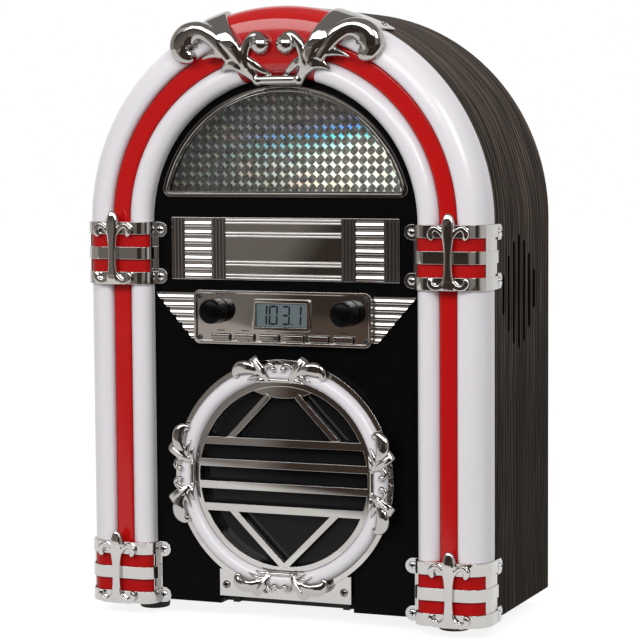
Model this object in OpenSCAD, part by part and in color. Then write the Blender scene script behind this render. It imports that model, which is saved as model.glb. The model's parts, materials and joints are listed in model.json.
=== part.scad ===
// Table-top disc jukebox: arched wood cabinet, lit tubes, chrome trim and a round disc door.
// x runs to the right, z up, and y from front to back. Depths are taken from the front panel's face,
// and "out" values stand in front of that face.

/* [Cabinet] */
// Outer width of the wood cabinet
cabinet_w = 264; // [260:1:300]
// Depth from the front panel's face to the back edge
cabinet_d = 121; // [112:1:160]
// Wall of the wood shell
shell_t = 6; // [5:0.5:9]
// Thickness of the black front panel
panel_t = 3; // [2:0.5:4]
// Thickness of the rear cover
back_t = 4; // [3:0.5:6]
// Thickness of the base board
base_t = 8; // [6:0.5:12]
// Height of the rubber feet
foot_h = 10; // [6:0.5:16]
// Radius of the rubber feet
foot_r = 10.5; // [8:0.5:14]

/* [Height stack] */
// From the cabinet's bottom to the lowest point of the door ring
door_sill = 9.8; // [9:0.1:20]
// From the door ring's top to the tuner plate
tuner_gap = 8.6; // [7:0.1:20]
// From the tuner plate to the title plate
title_gap = 6.1; // [4:0.1:15]
// From the title plate's top down to the spring line of the arch
spring_drop = 3; // [0:0.5:6]
// From the title plate's top to the sill of the half-round window
window_gap = 12.3; // [8:0.1:20]

/* [Light tubes] */
// Width of the whole band of tubes, from the cabinet's side inwards
tube_band = 43.5; // [42:0.5:46]
// Width of the inner white tube
inner_tube_w = 13.9; // [12:0.1:15]
// Width of the red stripe between the tubes
stripe_w = 12; // [10:0.1:13]
// How far the white tubes stand out
tube_out = 10; // [9:0.1:11]
// How far the outer tube's skirt reaches behind the panel's face
tube_skirt = 10; // [7:0.5:14]
// Wall of the tube covers
cover_t = 2.2; // [1.6:0.1:2.6]
// How far the red stripe stands out
stripe_out = 6; // [5:0.1:8]
// How far the red crown stands out
crown_out = 12; // [11:0.1:13]
// Half angle that the red crown spans
crown_angle = 15.4; // [14:0.1:18]

/* [Clamps] */
// Height of each chrome clamp
clamp_h = 39; // [34:0.5:44]
// Sheet of the chrome clamps
clamp_t = 1.6; // [1.2:0.1:2]
// How far the red sleeve under a clamp stands out
sleeve_out = 10.4; // [10:0.1:11]
// How far the foot clamps hang below the cabinet
clamp_drop = 2; // [0:0.5:4]

/* [Crest] */
// From the tubes' inner edge in to the crest's lower bar
crest_bar_in = 3.2; // [2.8:0.1:4]
// Height of the crest from its lower bar to the top of its arms
crest_h = 49.5; // [48:0.5:52]
// Half angle that the crest spans
crest_spread = 32.6; // [28:0.1:36]

/* [Window and plates] */
// Black panel left between the window and the inner tube
window_margin = 4.5; // [4:0.1:8]
// Width of the thin frame round the window
bezel_w = 4; // [3:0.1:6]
// Depth of the display box behind the window
display_d = 30; // [20:1:40]
// Depth of the film behind the panel's face
film_depth = 12; // [9:0.5:18]
// Height of the title plate
title_h = 38.8; // [34:0.1:44]
// From the title plate's ends to the tubes
title_margin = 12.7; // [12:0.1:18]
// Width of the tuner plate
tuner_w = 118.2; // [114:0.1:126]
// Height of the tuner plate
tuner_h = 33.3; // [32:0.1:38]
// How far the tuner plate's rim stands out
tuner_out = 6; // [5:0.1:7]
// From the wing tips to the tubes
wing_margin = 1.5; // [1:0.1:4]

/* [Controls] */
// Radius of the two knobs
knob_r = 7.9; // [7:0.1:9.5]
// How far the knobs stand out
knob_out = 17.5; // [16.8:0.1:22]
// Distance of each knob from the middle
knob_x = 43.5; // [41:0.1:46]
// Width of a push button
button_w = 12.6; // [9:0.1:13.4]
// Height of a push button
button_h = 3.6; // [3:0.1:4.2]
// Distance from one push button to the next
button_pitch = 16.4; // [16:0.1:18]
// Travel of a push button
button_travel = 1.2; // [0.8:0.1:1.4]
// Width of the display's frame
lcd_w = 38.6; // [34:0.1:42]
// Height of the display's frame
lcd_h = 19.7; // [17:0.1:20]

/* [Disc door] */
// Outer radius of the door's chrome rim
door_r = 72.7; // [71:0.1:76]
// Width of the chrome rim in front of the light ring
rim_w = 3.5; // [3:0.1:4]
// Width of the white light ring
ring_w = 9.2; // [8:0.1:10]
// Width of the inner chrome ring
inner_ring_w = 3.9; // [3:0.1:5]
// How far the light ring stands out
ring_out = 9.6; // [8:0.1:10.5]
// How far the rim and the bars stand out
rim_out = 5; // [4:0.1:6]
// Height of each of the four bars
bar_h = 4.8; // [3:0.1:6]
// Distance from one bar to the next
bar_pitch = 13.9; // [12:0.1:16]
// Half width of the plate at the door's foot
door_plate_x = 44.1; // [42:0.1:48]
// From the cabinet's bottom to the plate's lower edge
door_plate_rise = 5.5; // [5:0.1:8]
// Depth of the hinge axis behind the panel's face
hinge_depth = 6; // [6:0.1:7]
// Radius of the hinge pin
hinge_pin_r = 1.5; // [1.2:0.1:1.8]
// Height of a chrome clasp across the ring
clasp_h = 16.5; // [14:0.1:18]

/* [Disc deck] */
// Inner radius of the round disc well
well_r = 62; // [61:0.1:63]
// Depth of the disc well's floor
well_depth = 22; // [21:0.5:28]
// Wall of the disc well
well_t = 2; // [1.5:0.1:3]
// Radius of the turntable under the disc
turntable_r = 15; // [13:0.1:16]
// Travel of the optical pickup
pickup_travel = 30; // [26:0.5:31]
// Radius of the pickup's guide rods
rod_r = 1.5; // [1.2:0.1:1.8]
// Tooth size of the sled gear and its rack
gear_module = 0.8; // [0.7:0.05:0.85]
// Number of teeth on the sled gear
gear_teeth = 20; // [18:1:22]

/* [Speakers and vents] */
// Radius of a speaker's frame
speaker_r = 38; // [34:0.5:40]
// Depth of a speaker
speaker_d = 32; // [24:0.5:36]
// Length of the longest vent slot
vent_h = 71; // [60:1:74]
// Width of a vent slot
vent_w = 4; // [2.5:0.1:5]
// Distance from one vent slot to the next
vent_pitch = 10.35; // [8:0.05:11]

/* [Fits] */
// Radial clearance of a turning shaft
run_gap = 0.05; // [0.02:0.01:0.1]
// Clearance between fixed pieces
fit_gap = 0.2; // [0.1:0.05:0.25]
// Clearance round a piece that moves
move_gap = 0.5; // [0.4:0.05:0.6]

/* [Hidden] */
$fn = 64;
white_plastic = [0.86, 0.84, 0.86];
red_plastic = [0.69, 0.09, 0.08];
black_plastic = [0.05, 0.05, 0.05];
chrome = [0.72, 0.71, 0.70];
wood = [0.23, 0.21, 0.20];
steel = [0.55, 0.56, 0.58];
board_green = [0.10, 0.32, 0.18];
dark_metal = [0.25, 0.25, 0.27];

half_w = cabinet_w / 2;
base_z = foot_h;
door_z = base_z + door_sill + door_r;
tuner_z = door_z + door_r + tuner_gap;
title_z = tuner_z + tuner_h + title_gap;
title_top = title_z + title_h;
spring_z = title_top - spring_drop;
window_z = title_top + window_gap;
front_y = (knob_out - cabinet_d) / 2;

tube_r = half_w - tube_band;
stripe_r = tube_r + inner_tube_w;
outer_tube_r = stripe_r + stripe_w;
inner_round = inner_tube_w / 2 - 0.3;
outer_round = 13;
valley_round = 3.5;
crown_round = 16;
valley_out = stripe_out - 2.5;
sleeve_round = 6.5;
panel_edge = half_w - cover_t - fit_gap;
lip_r = half_w - shell_t - fit_gap;
lip_t = 2;
lip_depth = tube_skirt + 8;

clamp_x0 = tube_r - fit_gap - clamp_t;
clamp_x1 = half_w + fit_gap + clamp_t;
clamp_out = sleeve_out + fit_gap + clamp_t;
clamp_band = clamp_h / 5;
clamp_side = tube_skirt + 3;
ear_x = tube_r - 4.6;
ear_r = 4.3;
side_ear_y = tube_skirt + 6.3;
side_ear_end = side_ear_y + 3.8;
screw_z = clamp_h / 2 - clamp_band / 2 - 1;
upper_clamp_z = spring_z - clamp_h / 2;
lower_clamp_z = base_z - clamp_drop + clamp_h / 2;
screw_head_r = 2.6;
screw_head_h = 1.5;
screw_r = 1.2;
screw_hole_r = screw_r + 0.1;
screw_l = 7;

window_r = tube_r - window_margin;
window_open_r = window_r - bezel_w + 1;
bezel_out = 2;
title_x = tube_r - title_margin;
tuner_mid_z = tuner_z + tuner_h / 2;
tuner_floor = tuner_out - 1.5;
tuner_round = 4;
tuner_rim = 1.8;
knob_rise = 3.9;
knob_edge = 2;
knob_z = tuner_mid_z + knob_rise;
button_z = tuner_z + 4.5;
lcd_z = tuner_z + tuner_h / 2 + 1.9;
wing_x0 = tuner_w / 2 + fit_gap;
wing_x1 = tube_r - wing_margin;
control_board_y = panel_t + 9;
shaft_r = 3;

ring_r1 = door_r - rim_w;
ring_r0 = ring_r1 - ring_w;
door_hole_r = ring_r0 - inner_ring_w;
door_web_r = door_r - 2.7;
panel_hole_r = door_web_r + 2 * move_gap;
door_back = 2.5;
door_glass_t = 2;
plate_out = 3.2;
door_lift = 0.3;
plate_z = base_z + door_plate_rise;
hinge_z = plate_z + 1.5;
knuckle_r = hinge_pin_r + 1.7;
knuckle_x0 = door_plate_x - 20;
knuckle_w = 10;
bracket_w = 4;
bracket_x0 = knuckle_x0 + knuckle_w + 1;
base_front = hinge_depth + knuckle_r + 1.3;
flange_r = panel_hole_r + 7;
flange_t = 2;
latch_r = 2.5;
latch_z = door_z + well_r + well_t + latch_r + 0.7;

rod_z = 17;
rod_y = well_depth + well_t + 4;
chassis_y = rod_y + 6;
chassis_t = 2;
pickup_x = 25;
pickup_half = 11;
turret_half = 5.5;
rod_x0 = pickup_x - pickup_half - 6;
rod_x1 = pickup_x + pickup_half + pickup_travel + 8;
rod_post = 4;
gear_r = gear_module * gear_teeth / 2;
gear_x = pickup_x + 15;
rack_top = -(rod_z + 3.4);
rack_line = rack_top - 1.6 - 1.1 * gear_module;
gear_z = rack_line - gear_r - 0.1;
tooth_pitch = PI * gear_module;
motor_shaft_r = 1.2;
vent_y = tube_skirt + 48.3;
vent_z = spring_z - 43.5;
speaker_x = half_w - shell_t;

// Placing and repeating

module from_front() {
  translate([0, front_y, 0]) children();
}

// A front-view outline made into a slab between two depths
module slab(y0, y1) {
  translate([0, y1, 0]) rotate([90, 0, 0]) linear_extrude(y1 - y0) children();
}

// Local z points out of the front
module facing(x, z, y = 0) {
  translate([x, y, z]) rotate([90, 0, 0]) children();
}

module both_sides() {
  children();
  mirror([1, 0, 0]) children();
}

// Outlines

module arch_outline(r, z0) {
  translate([0, spring_z]) circle(r);
  translate([-r, z0]) square([2 * r, spring_z - z0]);
}

module half_round(r, z0) {
  intersection() {
    translate([0, spring_z]) circle(r);
    translate([-r, z0]) square([2 * r, spring_z + r - z0]);
  }
}

module box_outline(w, h) {
  square([w, h], center = true);
}

module rounded_box(w, h, r) {
  square([w - 2 * r, h], center = true);
  square([w, h - 2 * r], center = true);
  for (sx = [-1, 1], sz = [-1, 1]) translate([sx * (w / 2 - r), sz * (h / 2 - r)]) circle(r);
}

module slot_outline(l, w) {
  square([l - w, w], center = true);
  for (s = [-1, 1]) translate([s * (l - w) / 2, 0]) circle(w / 2);
}

module corner(r) {
  difference() {
    translate([-1, -r]) square([r + 1, r + 1]);
    translate([r, -r]) circle(r);
  }
}

// A tube's cross-section: distance from the middle against distance out of the front
module hump(x0, x1, v0, v1, r0, r1) {
  difference() {
    translate([x0, v0]) square([x1 - x0, v1 - v0]);
    translate([x0, v1]) corner(r0);
    translate([x1, v1]) mirror([1, 0]) corner(r1);
  }
}

// Keeps a cross-section's skirt clear of the panel behind it
module behind_panel(x1, depth) {
  translate([tube_r - 8, -depth - 1]) square([x1 - tube_r + 8, depth + 1]);
}

module cover_section() {
  difference() {
    union() {
      hump(tube_r, stripe_r, 0, tube_out, inner_round, inner_round);
      hump(outer_tube_r, half_w, -tube_skirt, tube_out, valley_round, outer_round);
      translate([stripe_r - cover_t, 0]) square([stripe_w + 2 * cover_t, valley_out]);
    }
    hump(tube_r + cover_t, stripe_r - cover_t, -1, tube_out - cover_t,
         inner_round - cover_t, inner_round - cover_t);
    hump(outer_tube_r + cover_t, half_w - cover_t, -tube_skirt - 1, tube_out - cover_t,
         valley_round - cover_t, outer_round - cover_t);
    behind_panel(half_w - cover_t, tube_skirt);
  }
}

module stripe_section() {
  hump(stripe_r + fit_gap, outer_tube_r - fit_gap, valley_out, stripe_out, 1.6, 1.6);
}

module sleeve_section() {
  difference() {
    hump(tube_r, half_w, -tube_skirt, sleeve_out, sleeve_round, outer_round);
    hump(tube_r + cover_t, half_w - cover_t, -tube_skirt - 1, sleeve_out - cover_t,
         sleeve_round - cover_t, outer_round - cover_t);
    behind_panel(half_w - cover_t, tube_skirt);
  }
}

module crown_section() {
  difference() {
    hump(tube_r, half_w, -tube_skirt, crown_out, crown_round, crown_round);
    hump(tube_r + cover_t, half_w - cover_t, -tube_skirt - 1, crown_out - cover_t,
         crown_round - cover_t, crown_round - cover_t);
    behind_panel(half_w - cover_t, tube_skirt);
  }
}

module clamp_section() {
  clamp_round = sleeve_round + fit_gap;
  side_round = outer_round + fit_gap;
  difference() {
    hump(clamp_x0, clamp_x1, -clamp_side, clamp_out, clamp_round + clamp_t, side_round + clamp_t);
    hump(clamp_x0 + clamp_t, clamp_x1 - clamp_t, -clamp_side - 1, clamp_out - clamp_t,
         clamp_round, side_round);
    behind_panel(half_w, clamp_side);
  }
  translate([clamp_x0 - 1.8, 0]) square([clamp_t + 1.8, clamp_t]);
}

// A cross-section carried round the arch between two angles from the right-hand spring point
module round_arch(from, to) {
  facing(0, spring_z) rotate([0, 0, from]) rotate_extrude(angle = to - from) children();
}

// A cross-section carried up a right-hand pillar
module up_pillar(z0, z1) {
  translate([0, 0, z0]) linear_extrude(z1 - z0) mirror([0, 1]) children();
}

// Cast scroll work: a limb is swept along rows of [place, half width, half thickness]

function smooth(p, i, t) =
  let (a = p[max(i - 1, 0)], b = p[i], c = p[i + 1], d = p[min(i + 2, len(p) - 1)])
  0.5 * (2 * b + (c - a) * t + (2 * a - 5 * b + 4 * c - d) * t * t + (3 * b - 3 * c + d - a) * t * t * t);

function curve(p, steps) =
  [for (i = [0 : len(p) - 2], k = [0 : steps - 1]) smooth(p, i, k / steps), p[len(p) - 1]];

function unit(v) = v / max(norm(v), 1e-6);

function heading(path, i) = unit(path[min(i + 1, len(path) - 1)] - path[max(i - 1, 0)]);

// One ring of the sweep, square to the path; the width lies along "across" where it is given
function limb_ring(path, i, w, t, sides, across) =
  let (ahead = heading(path, i),
       wide = is_undef(across) ? unit(cross(ahead, [0, 1, 0])) : across,
       thick = unit(cross(ahead, wide)))
  [for (k = [0 : sides - 1]) path[i] + w * cos(360 * k / sides) * wide + t * sin(360 * k / sides) * thick];

module limb(path, widths, thicks, sides = 10, across = undef) {
  last = len(path) - 1;
  points = [for (i = [0 : last])
    each limb_ring(path, i, widths[i], thicks[i], sides, is_undef(across) ? undef : across[i])];
  walls = [for (i = [0 : last - 1], k = [0 : sides - 1])
    let (a = i * sides + k, b = i * sides + (k + 1) % sides)
    each [[a, b + sides, b], [a, a + sides, b + sides]]];
  near_end = [for (k = [0 : sides - 1]) k];
  far_end = [for (k = [sides - 1 : -1 : 0]) last * sides + k];
  polyhedron(points, concat([near_end], walls, [far_end]), convexity = 6);
}

// Rows of [share of the spread, share of the height, distance out, half width, half thickness]
crest_arm = [[0.366, 0.28, 11.5, 2.2, 2.4], [0.44, 0.53, 13.4, 4.9, 3.1], [0.529, 0.769, 11, 7.4, 2.8],
             [0.57, 0.89, 6, 8.4, 2.4], [0.582, 0.947, -1, 8.6, 2], [0.585, 0.961, -9, 7.2, 1.6],
             [0.586, 0.958, -16, 5, 1.4]];
crest_scroll = [[0.504, 0.383, 12, 2.6, 2.6], [0.57, 0.62, 12.4, 3.4, 3.4], [0.67, 0.828, 11, 3.4, 4],
                [0.748, 0.894, 9.6, 3.6, 4.4], [0.84, 0.903, 8.2, 4.6, 4.8], [0.918, 0.836, 7.4, 5.4, 5],
                [0.943, 0.735, 7.8, 4.8, 4.6], [0.907, 0.66, 9, 3.2, 3.6], [0.847, 0.639, 9.8, 1.8, 2.4]];
crest_upper_leaf = [[0.388, 0.306, 11.6, 1.8, 2], [0.52, 0.45, 12.4, 2.6, 2.2],
                    [0.67, 0.515, 11.6, 1.8, 1.8], [0.788, 0.523, 10.4, 0.4, 0.6]];
crest_lower_leaf = [[0.289, 0.069, 5.5, 2.2, 2], [0.37, 0.235, 10.2, 3.3, 2.2],
                    [0.49, 0.318, 11.4, 2.6, 2], [0.627, 0.29, 10.4, 0.5, 0.7]];
crest_curl = [[0.305, 0.092, 6.5, 2, 2], [0.352, 0.27, 11.4, 2.5, 2.4], [0.318, 0.43, 12.9, 2.5, 2.4],
              [0.225, 0.55, 13.4, 2.6, 2.5], [0.129, 0.533, 13.4, 3.2, 2.8]];
crest_petal = [[0.322, 0.342, 12.4, 1.2, 1.6], [0.21, 0.205, 9.8, 2.8, 1.6], [0.089, 0.113, 5.4, 0.6, 0.8]];
crest_ball = [0.124, 0.45, 12.6, 4.7];
crest_bar = [0.272, 0.06, 5, 2.6];

function polar(share, rise, out, bar_r, high, spread) =
  let (r = bar_r + rise * high, a = share * spread) [r * sin(a), -out, r * cos(a)];

module crest_limb(rows, bar_r, high, spread, out0, size, detail, wraps = false) {
  fine = curve(rows, detail);
  places = [for (q = fine) polar(q[0], q[1], out0 + (q[2] - tube_out) * size, bar_r, high, spread)];
  round_about = [for (q = fine) [cos(q[0] * spread), 0, -sin(q[0] * spread)]];
  limb(places, [for (q = fine) q[3] * size], [for (q = fine) q[4] * size], 2 + 3 * detail,
       wraps ? round_about : undef);
}

// One crest about the arch or ring centre: bar at bar_r, arms to bar_r + high, standing on out0.
// Detail is the number of steps between two rows.
module scroll_crest(bar_r, high, spread, out0, size, detail) {
  bar_tip = polar(crest_bar[0], crest_bar[1], out0 + (crest_bar[2] - tube_out) * size, bar_r, high, spread);
  ball = polar(crest_ball[0], crest_ball[1], out0 + (crest_ball[2] - tube_out) * size, bar_r, high, spread);
  sides = 4 + 3 * detail;
  translate(bar_tip) rotate([0, -90, 0]) cylinder(h = 2 * bar_tip[0], r = crest_bar[3] * size, $fn = sides);
  both_sides() {
    crest_limb(crest_arm, bar_r, high, spread, out0, size, detail, true);
    for (rows = [crest_scroll, crest_upper_leaf, crest_lower_leaf, crest_curl, if (detail > 1) crest_petal])
      crest_limb(rows, bar_r, high, spread, out0, size, detail);
    translate(ball) sphere(crest_ball[3] * size, $fn = sides);
    translate(bar_tip) sphere((crest_bar[3] + 0.6) * size, $fn = sides);
  }
}

// The cross on the front of a clamp, about the clamp's middle
fleur_stem = [[0, 26.6, 12.6, 0.6, 0.8], [0, 24.4, 13.4, 3, 2], [0, 19, 14.2, 4.3, 3], [0, 12, 14.2, 4.2, 3],
              [0, 3, 13.7, 2.9, 2.7], [0, -8, 13.6, 3, 2.6], [0, -15.5, 13.4, 4.7, 2.4],
              [0, -19.2, 13, 5.4, 1.8]];
fleur_top_curl = [[2, 12, 13.2, 1.9, 2], [6, 16.4, 13.4, 2.1, 2.3], [9.8, 17, 13.4, 2.4, 2.4],
                  [11.6, 13.8, 13.2, 2.4, 2.2], [9.6, 10.4, 12.8, 1.3, 1.4]];
fleur_foot_curl = [[2, -14.8, 13.4, 2.6, 2.2], [6.2, -17.9, 13.4, 2.5, 2.3], [10, -17.3, 13.4, 2.6, 2.4],
                   [11.6, -14.4, 13.2, 2.4, 2.2], [9.2, -12.2, 12.8, 1.1, 1.2]];

module fleur_limb(rows) {
  fine = curve(rows, 2);
  limb([for (q = fine) [q[0], tube_out - q[2], q[1]]], [for (q = fine) q[3]], [for (q = fine) q[4]], 8);
}

module fleur() {
  fleur_limb(fleur_stem);
  both_sides() {
    fleur_limb(fleur_top_curl);
    fleur_limb(fleur_foot_curl);
  }
}

// Cabinet

module vent_slots() {
  for (i = [-3 : 3])
    translate([0, vent_y + i * vent_pitch, vent_z])
      rotate([0, 90, 0])
        linear_extrude(cabinet_w + 2, center = true)
          slot_outline(vent_h - 8 * pow(abs(i), 1.6), vent_w);
}

side_screw_places = [for (z = [upper_clamp_z, lower_clamp_z], s = [-1, 1]) [side_ear_y, z + s * screw_z]];
ear_screw_places = [for (z = [upper_clamp_z, lower_clamp_z], s = [-1, 1]) [ear_x, z + s * screw_z]];
tuner_screw_head_r = 1.7;
tuner_screw_in = tuner_rim + tuner_screw_head_r + 0.4;
tuner_screw_places = [for (sx = [-1, 1], sz = [-1, 1])
  [sx * (tuner_w / 2 - tuner_screw_in), tuner_mid_z + sz * (tuner_h / 2 - tuner_screw_in)]];
back_step = shell_t / 3;
cover_screw_head_r = 2.2;
back_y = cabinet_d - 3 - back_t;
back_screw_r = half_w - back_step - cover_screw_head_r - fit_gap;
back_screw_places = concat(
  [for (a = [15 : 30 : 165]) [back_screw_r * cos(a), spring_z + back_screw_r * sin(a)]],
  [for (s = [-1, 1], k = [0.2, 0.75]) [s * back_screw_r, base_z + k * (spring_z - base_z)]]);

module cabinet_shell() {
  color(wood) from_front()
    difference() {
      slab(tube_skirt, cabinet_d) arch_outline(half_w, base_z);
      slab(tube_skirt - 1, cabinet_d + 1) arch_outline(half_w - shell_t, base_z - 1);
      slab(back_y - fit_gap, cabinet_d + 1) arch_outline(half_w - back_step, base_z - 1);
      vent_slots();
      both_sides()
        for (p = side_screw_places)
          translate([half_w - screw_l, p[0], p[1]]) rotate([0, 90, 0]) cylinder(h = screw_l + 1, r = screw_hole_r);
      for (p = back_screw_places)
        facing(p[0], p[1], back_y + 1) cylinder(h = screw_l, r = screw_hole_r);
    }
}

module base_board() {
  board_x = half_w - shell_t - fit_gap;
  hinge_x = door_plate_x + move_gap;
  color(black_plastic) from_front() {
    translate([-board_x, base_front, base_z])
      cube([2 * board_x, back_y - fit_gap - base_front, base_t]);
    both_sides()
      translate([hinge_x, panel_t, base_z]) cube([board_x - hinge_x, base_front - panel_t, base_t]);
  }
}

module door_cutout() {
  translate([0, door_z]) circle(panel_hole_r);
  translate([-door_plate_x - move_gap, base_z - 1]) square([2 * (door_plate_x + move_gap), door_r / 2]);
}

module tuner_holes(extra) {
  for (s = [-1, 1]) translate([s * knob_x, knob_z]) circle(shaft_r + 0.6 + extra);
  translate([0, lcd_z]) box_outline(lcd_w - 5 + 2 * extra, lcd_h - 5 + 2 * extra);
}

function button_x(i) = (i - 2.5) * button_pitch;

module button_holes(grow) {
  for (i = [0 : 5]) translate([button_x(i), button_z]) box_outline(button_w + 2 * grow, button_h + 2 * grow);
}

module front_panel() {
  color(black_plastic) from_front()
    difference() {
      union() {
        slab(0, panel_t) arch_outline(panel_edge, base_z);
        slab(panel_t, lip_depth) difference() {
          arch_outline(lip_r, base_z + base_t + fit_gap);
          arch_outline(lip_r - lip_t, base_z);
        }
      }
      slab(-1, panel_t + 1) {
        half_round(window_open_r, window_z + bezel_w - 1);
        tuner_holes(0.4);
        button_holes(1.4);
        door_cutout();
      }
      both_sides()
        for (p = ear_screw_places) facing(p[0], p[1], panel_t + 1) cylinder(h = panel_t + 2, r = screw_hole_r);
      for (p = tuner_screw_places) facing(p[0], p[1], panel_t + 1) cylinder(h = panel_t + 2, r = screw_hole_r);
    }
}

inlet_x = 52 - half_w;
inlet_z = base_z + base_t + 27;
inlet_w = 26;
inlet_h = 15;

module rear_cover() {
  color(black_plastic) from_front()
    difference() {
      slab(back_y, back_y + back_t) arch_outline(half_w - back_step - fit_gap, base_z);
      slab(back_y - 1, back_y + back_t + 1)
        translate([inlet_x, inlet_z]) box_outline(inlet_w + 2 * fit_gap, inlet_h + 2 * fit_gap);
      for (p = back_screw_places)
        facing(p[0], p[1], back_y + back_t + 1) cylinder(h = back_t + 2, r = screw_hole_r);
    }
}

// A round-headed screw, its head's seat at z = 0 and its shank pointing down
module screw(l, head_r = screw_head_r) {
  slot_l = head_r * 1.15;
  translate([0, 0, -l]) cylinder(h = l, r = screw_r);
  difference() {
    cylinder(h = screw_head_h, r1 = head_r, r2 = head_r * 0.72);
    for (a = [0, 90]) rotate([0, 0, a]) translate([-slot_l / 2, -0.3, screw_head_h - 0.6]) cube([slot_l, 0.6, 1]);
  }
}

module rear_cover_screws() {
  color(steel) from_front()
    for (p = back_screw_places)
      translate([p[0], back_y + back_t, p[1]]) rotate([-90, 0, 0]) screw(back_t + 2, cover_screw_head_r);
}

module rubber_feet() {
  foot_x = half_w - 30;
  color(black_plastic) from_front()
    for (s = [-1, 1], y = [base_front + 12, back_y - 14])
      translate([s * foot_x, y, 0]) cylinder(h = foot_h, r1 = foot_r * 0.9, r2 = foot_r);
}

// Lit tubes

module arch_light_cover() {
  color(white_plastic) from_front() {
    round_arch(0, 90 - crown_angle) cover_section();
    round_arch(90 + crown_angle, 180) cover_section();
  }
}

module pillar_light_covers() {
  color(white_plastic) from_front() both_sides()
    up_pillar(lower_clamp_z + clamp_h / 2, upper_clamp_z - clamp_h / 2) cover_section();
}

module red_stripes() {
  color(red_plastic) from_front() {
    round_arch(0, 90 - crown_angle) stripe_section();
    round_arch(90 + crown_angle, 180) stripe_section();
    both_sides() up_pillar(lower_clamp_z + clamp_h / 2, upper_clamp_z - clamp_h / 2) stripe_section();
  }
}

module red_crown() {
  color(red_plastic) from_front() round_arch(90 - crown_angle, 90 + crown_angle) crown_section();
}

module red_sleeves() {
  color(red_plastic) from_front() both_sides()
    for (z = [upper_clamp_z, lower_clamp_z]) up_pillar(z - clamp_h / 2, z + clamp_h / 2) sleeve_section();
}

module led_strips() {
  strip_w = 4;
  strip_t = 1.2;
  chip = 3;
  strip_mid = (tube_r + stripe_r) / 2;
  low = lower_clamp_z + clamp_h / 2 + 6;
  high = upper_clamp_z - clamp_h / 2 - 6;
  chips = 9;
  color([0.9, 0.9, 0.75]) from_front() both_sides() {
    translate([strip_mid - strip_w / 2, -strip_t, low]) cube([strip_w, strip_t, high - low]);
    for (k = [0.5 : chips - 0.5])
      translate([strip_mid - chip / 2, -2 * strip_t, low + (high - low) * k / chips - chip / 2])
        cube([chip, 2 * strip_t, chip]);
    round_arch(4, 90 - crown_angle - 4) translate([strip_mid - strip_w / 2, 0]) square([strip_w, strip_t]);
    for (a = [10 : 9 : 82 - crown_angle])
      facing(0, spring_z) rotate([0, 0, a])
        translate([strip_mid - chip / 2, -chip / 2, 0]) cube([chip, chip, 2 * strip_t]);
  }
}

// Chrome clamps and crest

module side_ear(z) {
  ear_h = clamp_band + 1.6;
  cut = 2.4;
  translate([half_w + fit_gap, 0, z])
    rotate([90, 0, 90])
      linear_extrude(clamp_t)
        polygon([[clamp_side - 1, -ear_h / 2], [side_ear_end - cut, -ear_h / 2], [side_ear_end, cut - ear_h / 2],
                 [side_ear_end, ear_h / 2 - cut], [side_ear_end - cut, ear_h / 2], [clamp_side - 1, ear_h / 2]]);
}

// The right-hand clamp about z = 0: three bands over the red sleeve, screw ears and the cross
module clamp() {
  window_x0 = tube_r + 2.5;
  window_x1 = half_w - 3.6;
  difference() {
    union() {
      up_pillar(-clamp_h / 2, clamp_h / 2) clamp_section();
      for (s = [-1, 1]) {
        slab(-clamp_t, 0) translate([ear_x, s * screw_z]) {
          circle(ear_r);
          translate([0, -ear_r]) square([clamp_x0 - ear_x, 2 * ear_r]);
        }
        side_ear(s * screw_z);
      }
    }
    for (s = [-1, 1])
      translate([window_x0, -clamp_out - 1, s * clamp_band - clamp_band / 2])
        cube([window_x1 - window_x0, clamp_out - 2, clamp_band]);
    for (s = [-1, 1]) {
      facing(ear_x, s * screw_z, 1) cylinder(h = clamp_t + 2, r = screw_hole_r);
      translate([half_w - 1, side_ear_y, s * screw_z]) rotate([0, 90, 0]) cylinder(h = clamp_t + 3, r = screw_hole_r);
    }
  }
  fleur_x = (tube_r + half_w) / 2 + 0.4;
  translate([fleur_x, -tube_out, 0])
    resize([0, 0, clamp_h * 1.182], auto = true)
      intersection() {
        fleur();
        translate([-30, -30, -30]) cube([60, 30 - (clamp_out - tube_out) + 0.8, 60]);
      }
}

module upper_right_clamp() {
  color(chrome) from_front() translate([0, 0, upper_clamp_z]) clamp();
}

module upper_left_clamp() {
  color(chrome) from_front() mirror([1, 0, 0]) translate([0, 0, upper_clamp_z]) clamp();
}

module lower_right_clamp() {
  color(chrome) from_front() translate([0, 0, lower_clamp_z]) clamp();
}

module lower_left_clamp() {
  color(chrome) from_front() mirror([1, 0, 0]) translate([0, 0, lower_clamp_z]) clamp();
}

module trim_screws() {
  color(steel) from_front() {
    both_sides() {
      for (p = ear_screw_places) facing(p[0], p[1], -clamp_t) screw(clamp_t + panel_t);
      for (p = side_screw_places) translate([clamp_x1, p[0], p[1]]) rotate([0, 90, 0]) screw(screw_l);
    }
    for (p = tuner_screw_places) facing(p[0], p[1], -tuner_floor) screw(tuner_floor + panel_t, tuner_screw_head_r);
  }
}

// What the crest lies on, a little larger all round
module crest_bed() {
  gap = fit_gap + 0.1;
  rotate([90, 0, 0]) {
    rotate_extrude($fn = 96)
      hump(tube_r - gap, half_w + gap, -cabinet_d, tube_out + gap, inner_round + gap, outer_round + gap, $fn = 32);
    rotate([0, 0, 90 - crown_angle - 0.3])
      rotate_extrude(angle = 2 * crown_angle + 0.6, $fn = 96)
        hump(tube_r - gap, half_w + gap, -cabinet_d, crown_out + gap, crown_round + gap, crown_round + gap, $fn = 32);
  }
}

module crest_ornament() {
  bar_r = tube_r - crest_bar_in;
  color(chrome) from_front() translate([0, 0, spring_z])
    resize([0, 0, 0]) // keeps the casting one mesh
      difference() {
        scroll_crest(bar_r, crest_h, crest_spread, tube_out, 1, 2);
        crest_bed();
      }
}

// Window, plates and tuner

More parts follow.
